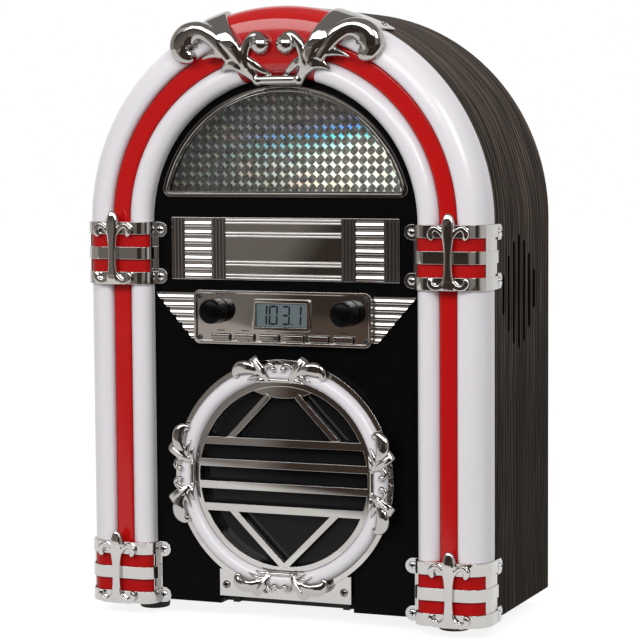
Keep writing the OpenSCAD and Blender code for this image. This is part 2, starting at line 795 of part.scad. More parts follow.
module window_bezel() {
  color(chrome) from_front()
    slab(-bezel_out, 0) difference() {
      half_round(window_r, window_z);
      half_round(window_r - bezel_w, window_z + bezel_w);
    }
}

module window_lens() {
  color([0.8, 0.85, 0.9, 0.3]) from_front() {
    slab(-bezel_out - 0.6, 0) half_round(window_r - bezel_w - fit_gap, window_z + bezel_w + fit_gap);
    slab(0, 1.5) half_round(window_open_r - fit_gap, window_z + bezel_w - 1 + fit_gap);
  }
}

module hologram_sheet() {
  color([0.6, 0.62, 0.66]) from_front()
    slab(film_depth, film_depth + 0.6) half_round(window_r - fit_gap, window_z + fit_gap);
}

module display_light_box() {
  wall = 2;
  color(black_plastic) from_front() {
    slab(panel_t, display_d) difference() {
      half_round(window_r + wall, window_z - wall);
      half_round(window_r, window_z);
    }
    slab(display_d - wall, display_d) half_round(window_r + wall, window_z - wall);
    slab(film_depth + 0.6, film_depth + 3) difference() {
      half_round(window_r + wall, window_z - wall);
      half_round(window_r - 3, window_z + 3);
    }
  }
}

module half_disc(r) {
  intersection() {
    circle(r);
    translate([-r, 0]) square([2 * r, r]);
  }
}

// Half-round ribs that stand on a plate whose face is out from the panel
module rib_across(x0, x1, z, r, out) {
  translate([x0, -out, z]) rotate([90, 0, 90]) linear_extrude(x1 - x0) rotate(90) half_disc(r);
}

module rib_up(x, z0, z1, r, out) {
  translate([x, -out, z0]) linear_extrude(z1 - z0) rotate(180) half_disc(r);
}

module title_plate() {
  plate_t = 1.4;
  end_w = 9.2;
  field_w = 19;
  fine_ribs = 4;
  broad_ribs = 7;
  margin = 0.6;
  field_x1 = title_x - end_w;
  field_x0 = field_x1 - field_w;
  inner_x0 = field_x0 - end_w;
  fine_pitch = end_w / fine_ribs;
  broad_pitch = (title_h - 2 * margin) / broad_ribs;
  color(chrome) from_front() {
    slab(-plate_t, 0) translate([-title_x, title_z]) square([2 * title_x, title_h]);
    both_sides() {
      for (k = [0.5 : fine_ribs - 0.5], x0 = [field_x1, inner_x0])
        rib_up(x0 + k * fine_pitch, title_z + margin, title_top - margin, fine_pitch * 0.42, plate_t);
      for (k = [0.5 : broad_ribs - 0.5])
        rib_across(field_x0 + margin, field_x1 - margin, title_z + margin + k * broad_pitch,
                   broad_pitch * 0.44, plate_t);
    }
    for (share = [0.06, 0.27, 0.73, 0.94], s = [-1, 1])
      slab(-plate_t - 1.2, -plate_t)
        translate([-inner_x0, title_z + share * title_h + s * 1.1 - 0.6]) square([2 * inner_x0, 1.2]);
  }
}

module tuner_faceplate() {
  color(chrome) from_front()
    difference() {
      slab(-tuner_out, 0) translate([0, tuner_mid_z]) rounded_box(tuner_w, tuner_h, tuner_round);
      slab(-tuner_out - 1, -tuner_floor)
        translate([0, tuner_mid_z]) rounded_box(tuner_w - 2 * tuner_rim, tuner_h - 2 * tuner_rim, tuner_round - tuner_rim);
      slab(-tuner_out - 1, 1) {
        tuner_holes(0);
        button_holes(0.3);
      }
      slab(-1.7, 1) button_holes(1.4);
      for (p = tuner_screw_places) facing(p[0], p[1], 1) cylinder(h = tuner_out + 2, r = screw_hole_r);
    }
}

// The right-hand wing: rounded ribs that step in towards the bottom
module wing() {
  ribs = 6;
  rise = 2.5;
  top = tuner_z + tuner_h - 1.9;
  pitch = (top - tuner_z - rise) / ribs;
  tip_step = (wing_x1 - wing_x0 - 4.2) / (ribs - 0.5);
  plate_t = 1.4;
  rib_r = pitch * 0.44;
  for (k = [0 : ribs - 1]) {
    z = top - (k + 0.5) * pitch;
    tip = wing_x1 - rib_r - k * tip_step;
    slab(-plate_t, 0) translate([wing_x0, z - pitch / 2 - 0.05]) square([tip - wing_x0, pitch + 0.1]);
    rib_across(wing_x0, tip, z, rib_r, plate_t);
    facing(tip - 0.1, z, -plate_t) rotate([0, 0, -90]) rotate_extrude(angle = 180) intersection() {
      circle(rib_r - 0.05);
      square(rib_r);
    }
  }
}

module right_wing() {
  color(chrome) from_front() wing();
}

module left_wing() {
  color(chrome) from_front() mirror([1, 0, 0]) wing();
}

module lcd_bezel() {
  color(chrome) from_front()
    slab(-tuner_floor - 2, -tuner_floor) translate([0, lcd_z]) difference() {
      rounded_box(lcd_w, lcd_h, 2);
      box_outline(lcd_w - 5, lcd_h - 5);
    }
}

module lcd_module() {
  color([0.52, 0.58, 0.55]) from_front()
    slab(-tuner_floor - 0.8, control_board_y)
      translate([0, lcd_z]) box_outline(lcd_w - 5 - 2 * fit_gap, lcd_h - 5 - 2 * fit_gap);
}

module control_board() {
  color(board_green) from_front()
    slab(control_board_y, control_board_y + 1.6)
      translate([0, tuner_mid_z]) box_outline(tuner_w - 6, tuner_h - 2);
}

module rotary_controls() {
  color(steel) from_front()
    for (s = [-1, 1])
      difference() {
        slab(panel_t, control_board_y) translate([s * knob_x, knob_z]) box_outline(16, 14);
        facing(s * knob_x, knob_z, control_board_y - 1.5)
          cylinder(h = control_board_y, r = shaft_r + run_gap);
      }
}

module tact_switches() {
  stem_gap = 0.1;
  tact_y = panel_t + 2.8 + button_travel + stem_gap;
  color(dark_metal) from_front()
    for (i = [0 : 5]) {
      slab(tact_y + 0.6, control_board_y) translate([button_x(i), button_z]) box_outline(6, 4.8);
      facing(button_x(i), button_z, tact_y + 0.6) cylinder(h = 0.6, r = 1.6);
    }
}

// A moving knob with its shaft, its axis out of the front
module knob(x) {
  knob_back = tuner_floor + move_gap;
  pointer = 1.2;
  facing(x, knob_z) {
    difference() {
      rotate_extrude() intersection() {
        hump(-knob_r, knob_r, knob_back, knob_out, knob_edge, knob_edge);
        square([knob_r, knob_out]);
      }
      translate([-pointer / 2, knob_r * 0.35, knob_out - 0.7]) cube([pointer, knob_r * 0.5, 2]);
    }
    translate([0, 0, -control_board_y + 2]) cylinder(h = control_board_y + knob_back, r = shaft_r);
  }
}

module volume_knob() {
  color(black_plastic) from_front() knob(-knob_x);
}

module selector_knob() {
  color(black_plastic) from_front() knob(knob_x);
}

module button(i) {
  color([0.3, 0.3, 0.3]) from_front() {
    slab(-tuner_out - 1, -1.6) translate([button_x(i), button_z]) box_outline(button_w, button_h);
    slab(-1.6, -0.4) translate([button_x(i), button_z]) box_outline(button_w + 1.8, button_h + 1.8);
    slab(-0.4, panel_t + 2.8) translate([button_x(i), button_z]) box_outline(3, 2.4);
  }
}

module button_1() { button(0); }
module button_2() { button(1); }
module button_3() { button(2); }
module button_4() { button(3); }
module button_5() { button(4); }
module button_6() { button(5); }

// Disc door

module turned_door() {
  facing(0, door_z) rotate_extrude() children();
}

// A straight bar of the grille between two front-view points
module door_strut(a, b, w, y0, y1) {
  d = b - a;
  slab(y0, y1) translate(a) rotate(atan2(d[1], d[0])) translate([0, -w / 2]) square([norm(d), w]);
}

module door_grille() {
  seat_r = door_hole_r + inner_ring_w / 2;
  strut_w = 4;
  intersection() {
    union() {
      for (k = [-1.5 : 1.5]) {
        z = k * bar_pitch;
        translate([-seat_r, -rim_out, door_z + z - bar_h / 2]) cube([2 * seat_r, rim_out - door_lift, bar_h]);
      }
      both_sides() {
        door_strut([9.5, door_z + 50], [37.5, door_z + 1.5 * bar_pitch], strut_w, -rim_out + 0.6, -door_lift);
        door_strut([36, door_z - 1.5 * bar_pitch], [0, door_z - door_hole_r - 0.5], strut_w, -rim_out + 0.6, -door_lift);
      }
      slab(-rim_out + 0.8, -door_lift) intersection() {
        translate([0, door_z]) circle(seat_r);
        translate([0, door_z + door_hole_r + 42]) circle(49.5);
      }
    }
    turned_door() translate([0, -door_back]) square([seat_r, 30]);
  }
}

module door_knuckle(x0) {
  difference() {
    union() {
      translate([x0, hinge_depth, hinge_z]) rotate([0, 90, 0]) cylinder(h = knuckle_w, r = knuckle_r);
      translate([x0, -plate_out / 2, plate_z]) cube([knuckle_w, hinge_depth + plate_out / 2, hinge_z + knuckle_r - plate_z]);
    }
    translate([x0 - 1, hinge_depth, hinge_z]) rotate([0, 90, 0]) cylinder(h = knuckle_w + 2, r = hinge_pin_r + run_gap);
  }
}

door_screw_places = [for (s = [-1, 1]) [s * (door_plate_x - 4.7), plate_z + 7.2]];

module door_frame() {
  color(chrome) from_front()
    difference() {
      union() {
        turned_door() {
          translate([ring_r1 + fit_gap, door_lift]) square([rim_w - fit_gap, rim_out - door_lift]);
          translate([door_hole_r, -door_back]) square([door_web_r - door_hole_r, door_back + door_lift]);
          translate([door_web_r - 1, 0]) square([ring_r1 + fit_gap + 1 - door_web_r + 1, door_lift]);
          translate([door_hole_r, 0]) square([inner_ring_w - fit_gap, rim_out]);
        }
        difference() {
          slab(-plate_out, -door_lift)
            translate([-door_plate_x, plate_z]) square([2 * door_plate_x, door_z - plate_z - ring_r0]);
          turned_door() translate([0, -1]) square([ring_r1 + rim_w / 2, 20]);
        }
        door_grille();
        both_sides() door_knuckle(knuckle_x0);
      }
      for (p = door_screw_places) facing(p[0], p[1], 1) cylinder(h = plate_out + 2, r = screw_hole_r);
    }
}

module door_light_ring() {
  color(white_plastic) from_front()
    turned_door() hump(ring_r0, ring_r1, door_lift, ring_out, ring_w / 2 - 0.3, ring_w / 2 - 0.3);
}

module door_window() {
  color([0.1, 0.1, 0.11, 0.6]) from_front()
    facing(0, door_z, door_back + door_glass_t) cylinder(h = door_glass_t, r = ring_r0);
}

module clasp_bed() {
  gap = fit_gap + 0.1;
  rotate([90, 0, 0]) {
    rotate_extrude($fn = 60)
      hump(ring_r0 - gap, ring_r1 + gap, -1, ring_out + gap, ring_w / 2 - 0.3, ring_w / 2 - 0.3, $fn = 16);
    rotate_extrude($fn = 60)
      translate([door_hole_r - gap, -1]) square([door_r + 2 * gap - door_hole_r, rim_out + 1 + gap]);
    translate([-2 * door_r, -2 * door_r, -20]) cube([4 * door_r, 4 * door_r, 20 + plate_out + gap]);
  }
}

module door_clasps() {
  size = clasp_h / crest_h * 1.35;
  bar_r = ring_r0 - 0.5;
  color(chrome) from_front() translate([0, 0, door_z])
    for (a = [0 : 90 : 270])
      rotate([0, a, 0])
        resize([0, 0, 0])
          difference() {
            scroll_crest(bar_r, clasp_h, crest_spread * 0.77, ring_out, size, 1);
            clasp_bed();
          }
}

module door_screws() {
  color(steel) from_front()
    for (p = door_screw_places) facing(p[0], p[1], -plate_out) screw(plate_out - door_lift);
}

module hinge_brackets() {
  color(steel) from_front() both_sides()
    difference() {
      union() {
        translate([bracket_x0, hinge_depth, hinge_z]) rotate([0, 90, 0]) cylinder(h = bracket_w, r = knuckle_r);
        translate([bracket_x0, hinge_depth, base_z])
          cube([bracket_w, base_front - hinge_depth, min(base_t, hinge_z + knuckle_r - base_z)]);
      }
      translate([bracket_x0 - 1, hinge_depth, hinge_z]) rotate([0, 90, 0])
        cylinder(h = bracket_w + 2, r = hinge_pin_r + 0.02);
    }
}

module hinge_pin() {
  pin_x = bracket_x0 + bracket_w + 0.5;
  color(steel) from_front()
    translate([-pin_x, hinge_depth, hinge_z]) rotate([0, 90, 0]) cylinder(h = 2 * pin_x, r = hinge_pin_r);
}

// Push latch behind the top of the door

module latch_body() {
  latch_y = panel_t + flange_t;
  color(black_plastic) from_front()
    difference() {
      slab(latch_y, latch_y + 16) translate([0, latch_z - latch_r - 0.5 + 6]) box_outline(14, 12);
      facing(0, latch_z, latch_y + 14) cylinder(h = 16, r = latch_r + run_gap);
    }
}

module latch_plunger() {
  color(white_plastic) from_front()
    facing(0, latch_z, panel_t + flange_t + 10) cylinder(h = panel_t + flange_t + 10 - door_back - 0.1, r = latch_r);
}

// Disc deck

deck_post_places = [[-28, 28], [-28, -28], [56, 31], [62, -37]];

module disc_well() {
  slot_h = 14;
  color(black_plastic) from_front()
    difference() {
      facing(0, door_z) rotate_extrude() {
        translate([well_r, -well_depth - well_t]) square([well_t, well_depth + well_t - panel_t]);
        translate([0, -well_depth - well_t]) square([well_r + well_t, well_t]);
        translate([well_r, -panel_t - flange_t]) square([flange_r - well_r, flange_t]);
      }
      slab(0, panel_t + flange_t + 1) {
        translate([-door_plate_x - 2, base_z - 8]) square([2 * door_plate_x + 4, door_z - well_r - well_t - base_z + 8]);
        translate([0, latch_z]) circle(latch_r + move_gap);
      }
      slab(well_depth - 1, well_depth + well_t + 1) {
        translate([0, door_z]) circle(turntable_r + 1.5);
        translate([0, door_z - slot_h / 2]) square([pickup_x + turret_half + pickup_travel + 1, slot_h]);
      }
    }
}

module cd_chassis() {
  plate_x0 = -36;
  plate_x1 = rod_x1 + 4;
  plate_low = 46;
  plate_h = 86;
  color(steel) from_front() translate([0, 0, door_z])
    difference() {
      union() {
        slab(chassis_y, chassis_y + chassis_t) translate([plate_x0, -plate_low]) square([plate_x1 - plate_x0, plate_h]);
        for (p = deck_post_places)
          facing(p[0], p[1], chassis_y) cylinder(h = chassis_y - well_depth - well_t, r = 3);
        for (x = [rod_x0, rod_x1 - rod_post], s = [-1, 1])
          translate([x, rod_y - 3, s * rod_z - 3]) cube([rod_post, chassis_y - rod_y + 3, 6]);
      }
      for (s = [-1, 1])
        translate([rod_x0 - 1, rod_y, s * rod_z]) rotate([0, 90, 0])
          cylinder(h = rod_x1 - rod_x0 + 2, r = rod_r + 0.02);
      facing(0, 0, chassis_y + chassis_t + 1) cylinder(h = chassis_t + 2, r = 4);
      facing(gear_x, gear_z, chassis_y + chassis_t + 1) cylinder(h = chassis_t + 2, r = 2);
    }
}

module sled_guide_rods() {
  color(steel) from_front() translate([0, 0, door_z])
    for (s = [-1, 1])
      translate([rod_x0, rod_y, s * rod_z]) rotate([0, 90, 0]) cylinder(h = rod_x1 - rod_x0, r = rod_r);
}

module motor(x, z, y0, y1, r) {
  difference() {
    facing(x, z, y1) cylinder(h = y1 - y0, r = r);
    facing(x, z, y1 - 2) cylinder(h = y1 - y0, r = motor_shaft_r + run_gap);
  }
}

module deck_motors() {
  color(dark_metal) from_front() translate([0, 0, door_z]) {
    motor(0, 0, rod_y - 2, chassis_y, 10.5);
    motor(gear_x, gear_z, chassis_y + chassis_t, chassis_y + chassis_t + 14, 8);
  }
}

module turntable_hub() {
  disc_lift = 5;
  disc_y = well_depth - disc_lift;
  nose = 4.5;
  nose_r = 7.4;
  color(black_plastic) from_front() {
    facing(0, door_z, disc_y + 2) cylinder(h = 2, r = turntable_r);
    facing(0, door_z, disc_y) cylinder(h = nose - 1.5, r = nose_r);
    facing(0, door_z, disc_y - nose + 1.5) cylinder(h = 1.5, r1 = nose_r, r2 = nose_r - 2);
    facing(0, door_z, rod_y + 3) cylinder(h = rod_y + 1 - disc_y, r = motor_shaft_r);
  }
}

module rack_teeth() {
  half = tooth_pitch / 4 - 0.12;
  lean = tan(20) * gear_module;
  first = -floor((pickup_travel + 3) / tooth_pitch);
  for (k = [first : 1])
    translate([(k + 0.5) * tooth_pitch, 0])
      polygon([[-half - lean, 0.1 + 1.1 * gear_module], [-half - lean, 0.9 * gear_module],
               [-half + lean * 0.8, -0.85 * gear_module], [half - lean * 0.8, -0.85 * gear_module],
               [half + lean, 0.9 * gear_module], [half + lean, 0.1 + 1.1 * gear_module]]);
}

module optical_pickup() {
  block_z = rod_z + 3;
  thick = 6;
  rack_t = 3;
  rack_x0 = gear_x - pickup_travel - 5;
  rack_x1 = gear_x + 2 * tooth_pitch;
  color(dark_metal) from_front() translate([0, 0, door_z])
    difference() {
      union() {
        translate([pickup_x - pickup_half, rod_y - thick / 2, -block_z]) cube([2 * pickup_half, thick, 2 * block_z]);
        translate([pickup_x - pickup_half + 2, rod_y - thick / 2, rack_top - 1]) cube([2 * pickup_half - 4, rack_t, 2]);
        translate([rack_x0, rod_y - thick / 2, rack_line + gear_module]) cube([rack_x1 - rack_x0, rack_t, 2]);
        slab(rod_y - thick / 2, rod_y - thick / 2 + rack_t) translate([gear_x, rack_line]) rack_teeth();
        translate([pickup_x - turret_half, well_depth - 0.5, -6]) cube([2 * turret_half, rod_y - well_depth, 12]);
        facing(pickup_x, 0, well_depth) cylinder(h = 1.6, r = 4);
      }
      for (s = [-1, 1])
        translate([0, rod_y, s * rod_z]) rotate([0, 90, 0]) cylinder(h = 2 * rod_x1, r = rod_r + run_gap);
    }
}

module gear_outline() {
  half = 90 / gear_teeth;
  root_r = gear_r - 1.1 * gear_module;
  tip_r = gear_r + 0.85 * gear_module;
  slim = 0.12 / gear_r * 180 / PI;
  circle(root_r);
  for (k = [0 : gear_teeth - 1])
    rotate(90 + 360 * k / gear_teeth)
      polygon([[0, -1.2 * gear_module], [root_r, -1.2 * gear_module], [gear_r, -gear_r * sin(half - slim)],
               [tip_r, -0.3 * gear_module], [tip_r, 0.3 * gear_module], [gear_r, gear_r * sin(half - slim)],
               [root_r, 1.2 * gear_module], [0, 1.2 * gear_module]]);
}

module sled_gear() {
  color(white_plastic) from_front() translate([0, 0, door_z]) {
    translate([gear_x, 0, gear_z]) slab(rod_y - 3, rod_y) gear_outline();
    facing(gear_x, gear_z, chassis_y + chassis_t + 10)
      cylinder(h = chassis_y + chassis_t + 10 - rod_y, r = motor_shaft_r);
  }
}

// Speakers, boards and supply

module beside(y, z) {
  translate([speaker_x, y, z]) rotate([0, -90, 0]) children();
}

module speaker_baskets() {
  rim_t = 3;
  cone_r = speaker_r - 5;
  magnet_r = speaker_r * 0.55;
  color(dark_metal) from_front() both_sides()
    beside(vent_y, vent_z) {
      rotate_extrude() difference() {
        union() {
          translate([cone_r, 0]) square([speaker_r - cone_r, rim_t]);
          polygon([[cone_r, rim_t - 0.5], [speaker_r - 1, rim_t - 0.5], [magnet_r + 1, speaker_d * 0.6],
                   [magnet_r - 3, speaker_d * 0.6]]);
        }
        translate([0, -1]) square([magnet_r - 4, speaker_d]);
      }
      translate([0, 0, speaker_d * 0.6]) cylinder(h = speaker_d * 0.4, r = magnet_r);
    }
}

module speaker_cones() {
  cone_r = speaker_r - 5;
  dome_r = cone_r * 0.3;
  dome_lift = 5;
  cone_deep = 8;
  paper_t = 1.4;
  color([0.12, 0.12, 0.12]) from_front() both_sides()
    beside(vent_y, vent_z)
      rotate_extrude()
        polygon([[0, dome_lift], [dome_r, cone_deep], [cone_r - 3, 0.8], [cone_r - fit_gap, 0.8],
                 [cone_r - fit_gap, 1.8], [cone_r - 2.5, 1.8], [dome_r, cone_deep + paper_t],
                 [0, dome_lift + paper_t]]);
}

module main_board() {
  board_w = 110;
  board_h = 70;
  stand = 8;
  board_rise = 90;
  board_t = 1.6;
  post_in = 6;
  post_r = 3;
  board_z = inlet_z + board_rise;
  board_y = back_y - stand - board_t;
  color(board_green) from_front() {
    slab(board_y, board_y + board_t) translate([0, board_z]) box_outline(board_w, board_h);
    for (sx = [-1, 1], sz = [-1, 1])
      facing(sx * (board_w / 2 - post_in), board_z + sz * (board_h / 2 - post_in), back_y)
        cylinder(h = stand + board_t / 2, r = post_r);
    slab(board_y - 12, board_y) translate([-30, board_z + 8]) box_outline(26, 14);
    for (x = [8, 26, 44]) facing(x, board_z - 18, board_y) cylinder(h = 14, r = 6);
  }
}

module power_transformer() {
  core_w = 54;
  core_d = 24;
  core_h = 45;
  coil_d = 42;
  foot_t = 2;
  foot_l = 10;
  side_room = 50;
  back_room = 45;
  coil_in = 9;
  place_x = half_w - shell_t - side_room;
  place_y = back_y - back_room;
  color([0.35, 0.33, 0.30]) from_front() translate([place_x, place_y, base_z + base_t]) {
    translate([-core_w / 2 - foot_l, -core_d / 2, 0]) cube([core_w + 2 * foot_l, core_d, foot_t]);
    translate([-core_w / 2, -core_d / 2, 0]) cube([core_w, core_d, core_h]);
    translate([-core_w / 4, -coil_d / 2, coil_in]) cube([core_w / 2, coil_d, core_h - 2 * coil_in]);
  }
}

module mains_inlet() {
  depth = 18;
  well = 11;
  pin_r = 1.2;
  color(black_plastic) from_front() {
    difference() {
      slab(back_y - depth, back_y + back_t) translate([inlet_x, inlet_z]) box_outline(inlet_w, inlet_h);
      slab(back_y + back_t - well, back_y + back_t + 1)
        translate([inlet_x, inlet_z]) slot_outline(18.4, 9.6);
    }
    for (s = [-1, 1])
      facing(inlet_x + s * 4.4, inlet_z, back_y + back_t - 1.5) cylinder(h = well, r = pin_r);
  }
}

cabinet_shell();
base_board();
front_panel();
rear_cover();
rear_cover_screws();
rubber_feet();
arch_light_cover();
pillar_light_covers();
red_stripes();
red_crown();
upper_left_clamp();
upper_right_clamp();
lower_left_clamp();
lower_right_clamp();
red_sleeves();
trim_screws();
crest_ornament();
window_bezel();
window_lens();
hologram_sheet();
display_light_box();
title_plate();
tuner_faceplate();
left_wing();
right_wing();
lcd_bezel();
lcd_module();
control_board();
rotary_controls();
tact_switches();
disc_well();
cd_chassis();
deck_motors();
sled_guide_rods();
speaker_baskets();
speaker_cones();
main_board();
power_transformer();
led_strips();
mains_inlet();
hinge_brackets();
hinge_pin();
latch_body();
door_frame();
door_light_ring();
door_window();
door_clasps();
door_screws();
volume_knob();
selector_knob();
button_1();
button_2();
button_3();
button_4();
button_5();
button_6();
turntable_hub();
optical_pickup();
sled_gear();
latch_plunger();
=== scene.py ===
import bpy
import bmesh
import json
import math
from mathutils import Matrix, Vector

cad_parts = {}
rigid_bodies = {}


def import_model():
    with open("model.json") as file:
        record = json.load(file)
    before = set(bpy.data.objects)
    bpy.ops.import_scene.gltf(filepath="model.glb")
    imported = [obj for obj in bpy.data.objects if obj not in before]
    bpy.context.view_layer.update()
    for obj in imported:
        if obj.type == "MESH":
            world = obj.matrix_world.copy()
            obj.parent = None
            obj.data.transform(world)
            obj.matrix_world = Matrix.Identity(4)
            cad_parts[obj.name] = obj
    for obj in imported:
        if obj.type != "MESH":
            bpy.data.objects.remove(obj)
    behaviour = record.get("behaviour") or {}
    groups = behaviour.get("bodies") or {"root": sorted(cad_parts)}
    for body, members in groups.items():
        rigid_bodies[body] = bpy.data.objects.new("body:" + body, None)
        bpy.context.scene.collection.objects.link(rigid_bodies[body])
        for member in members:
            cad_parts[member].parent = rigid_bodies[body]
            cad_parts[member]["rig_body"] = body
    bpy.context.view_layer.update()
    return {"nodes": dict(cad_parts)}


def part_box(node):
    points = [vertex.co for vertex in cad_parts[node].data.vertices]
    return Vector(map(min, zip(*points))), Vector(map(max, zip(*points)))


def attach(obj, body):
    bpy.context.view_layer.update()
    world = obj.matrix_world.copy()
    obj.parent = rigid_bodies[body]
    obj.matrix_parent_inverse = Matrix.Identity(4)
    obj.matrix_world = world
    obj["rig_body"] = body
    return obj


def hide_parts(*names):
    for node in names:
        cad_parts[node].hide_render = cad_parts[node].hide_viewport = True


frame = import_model()
nodes = frame["nodes"]
mm = 0.001
print("frame loaded:", len(nodes), "nodes")

# camera, as fitted to the photograph
shot = {"place": (0.57262, -1.39290, 0.30608), "yaw": 22.27, "pitch": 4.59, "roll": -0.37,
        "lens": 133.89, "sensor": 36}


def aimCamera():
    yaw, pitch, roll = (math.radians(shot[k]) for k in ("yaw", "pitch", "roll"))
    level = math.cos(pitch)
    ahead = Vector((-math.sin(yaw) * level, math.cos(yaw) * level, -math.sin(pitch)))
    right = Vector((math.cos(yaw), math.sin(yaw), 0))
    up = right.cross(ahead)
    turned = math.cos(roll) * right + math.sin(roll) * up
    upright = math.cos(roll) * up - math.sin(roll) * right
    data = bpy.data.cameras.new("photoCamera")
    data.lens = shot["lens"]
    data.sensor_width = shot["sensor"]
    camera = bpy.data.objects.new("photoCamera", data)
    bpy.context.scene.collection.objects.link(camera)
    basis = Matrix((turned, upright, -ahead)).transposed().to_4x4()
    camera.matrix_world = Matrix.Translation(shot["place"]) @ basis
    bpy.context.scene.camera = camera


aimCamera()


# shader helpers
def shaderTree(name):
    material = bpy.data.materials.new(name)
    material.use_nodes = True
    tree = material.node_tree
    tree.nodes.clear()
    out = tree.nodes.new("ShaderNodeOutputMaterial")
    body = tree.nodes.new("ShaderNodeBsdfPrincipled")
    tree.links.new(body.outputs[0], out.inputs[0])
    return material, tree, body


def addNode(tree, kind, **settings):
    node = tree.nodes.new(kind)
    for key, value in settings.items():
        if key in node.inputs:
            node.inputs[key].default_value = value
        else:
            setattr(node, key, value)
    return node


def grainNoise(tree, stretch, detail=4.0, rough=0.6):
    place = addNode(tree, "ShaderNodeTexCoord")
    turn = addNode(tree, "ShaderNodeMapping", Scale=stretch)
    noise = addNode(tree, "ShaderNodeTexNoise", Scale=1.0, Detail=detail, Roughness=rough)
    tree.links.new(place.outputs["Object"], turn.inputs["Vector"])
    tree.links.new(turn.outputs[0], noise.inputs["Vector"])
    return noise.outputs[0]


def ramp(tree, source, stops):
    node = addNode(tree, "ShaderNodeValToRGB")
    while len(node.color_ramp.elements) < len(stops):
        node.color_ramp.elements.new(0.5)
    for element, (place, colour) in zip(node.color_ramp.elements, stops):
        element.position = place
        element.color = (*colour, 1)
    tree.links.new(source, node.inputs[0])
    return node.outputs[0]


# grey stops for a ramp, each as (place, level)
def greys(*stops):
    return [(place, (level,) * 3) for place, level in stops]


def rangeOf(tree, source, low, high):
    node = addNode(tree, "ShaderNodeMapRange", **{"To Min": low, "To Max": high})
    tree.links.new(source, node.inputs[0])
    return node.outputs[0]


def objectAxes(tree):
    place = addNode(tree, "ShaderNodeTexCoord")
    axes = addNode(tree, "ShaderNodeSeparateXYZ")
    tree.links.new(place.outputs["Object"], axes.inputs[0])
    return axes.outputs["X"], axes.outputs["Y"], axes.outputs["Z"]


def maths(tree, operation, a, b=None):
    node = addNode(tree, "ShaderNodeMath", operation=operation)
    for socket, value in zip(node.inputs, (a, b)):
        if isinstance(value, (int, float)):
            socket.default_value = value
        elif value is not None:
            tree.links.new(value, socket)
    return node.outputs[0]


def blend(tree, kind, share, a, b):
    node = addNode(tree, "ShaderNodeMix", data_type="RGBA", blend_type=kind)
    for socket, value in ((node.inputs[0], share), (node.inputs[6], a), (node.inputs[7], b)):
        if isinstance(value, (int, float)):
            socket.default_value = value
        elif isinstance(value, tuple):
            socket.default_value = (*value, 1)
        else:
            tree.links.new(value, socket)
    return node.outputs[2]


def bumpOf(tree, body, source, strength, distance):
    node = addNode(tree, "ShaderNodeBump", Strength=strength, Distance=distance)
    tree.links.new(source, node.inputs["Height"])
    tree.links.new(node.outputs[0], body.inputs["Normal"])


# a moulded or plated finish: faint cloudiness in colour and roughness, and a fine grain where it has one
cloudy = {"scale": (60, 60, 60), "grainScale": (1400, 1400, 1400), "grainDeep": 0.0002,
          "coatRough": 0.06, "leastRough": 0.02}


def moulded(name, colour, rough, spread=0.05, metal=0.0, cloud=0.05, coat=0.0, grain=0.0, ior=1.5):
    material, tree, body = shaderTree(name)
    noise = grainNoise(tree, cloudy["scale"], detail=5)
    darker = tuple(c * (1 - cloud) for c in colour)
    lighter = tuple(min(1, c * (1 + cloud)) for c in colour)
    smoothest = max(cloudy["leastRough"], rough - spread)
    tree.links.new(ramp(tree, noise, [(0.3, darker), (0.7, lighter)]), body.inputs["Base Color"])
    tree.links.new(rangeOf(tree, noise, smoothest, rough + spread), body.inputs["Roughness"])
    body.inputs["Metallic"].default_value = metal
    body.inputs["IOR"].default_value = ior
    body.inputs["Coat Weight"].default_value = coat
    body.inputs["Coat Roughness"].default_value = cloudy["coatRough"]
    if grain:
        bumpOf(tree, body, grainNoise(tree, cloudy["grainScale"], detail=2), grain, cloudy["grainDeep"])
    return material


# black ash vinyl: the grain runs up the sides and on round the arch, so it is drawn out in X and Z alike
vinyl = {"dark": (0.0215, 0.0167, 0.0132), "pale": (0.042, 0.0328, 0.0262),
         "broad": (6, 48, 6), "lines": (5, 230, 5), "pores": (22, 620, 22), "drawnOut": (0.12, 1, 0.12),
         "rings": {"Scale": 62.0, "Distortion": 7.0, "Detail": 2.0, "Detail Scale": 0.4},
         "bend": 0.007, "bendScale": 9.0, "rough": 0.6, "ior": 1.07, "relief": 0.5, "deep": 0.0004,
         # painted sheen: tone factors by height that make the vinyl paler towards the top of the arch
         "sheenByHeight": [(0.13, (0.77, 0.75, 0.72)), (0.19, (1.5, 1.49, 1.47)), (0.26, (2.05, 2.05, 2.05)),
                    (0.34, (2.2, 2.2, 2.25))],
         "lineTones": greys((0.36, 0.45), (0.46, 0.95), (0.6, 1.25)),
         "poreTones": greys((0.36, 0.35), (0.5, 1), (0.68, 1.4)),
         "ringTones": greys((0.05, 0.42), (0.45, 1), (0.95, 1.45))}


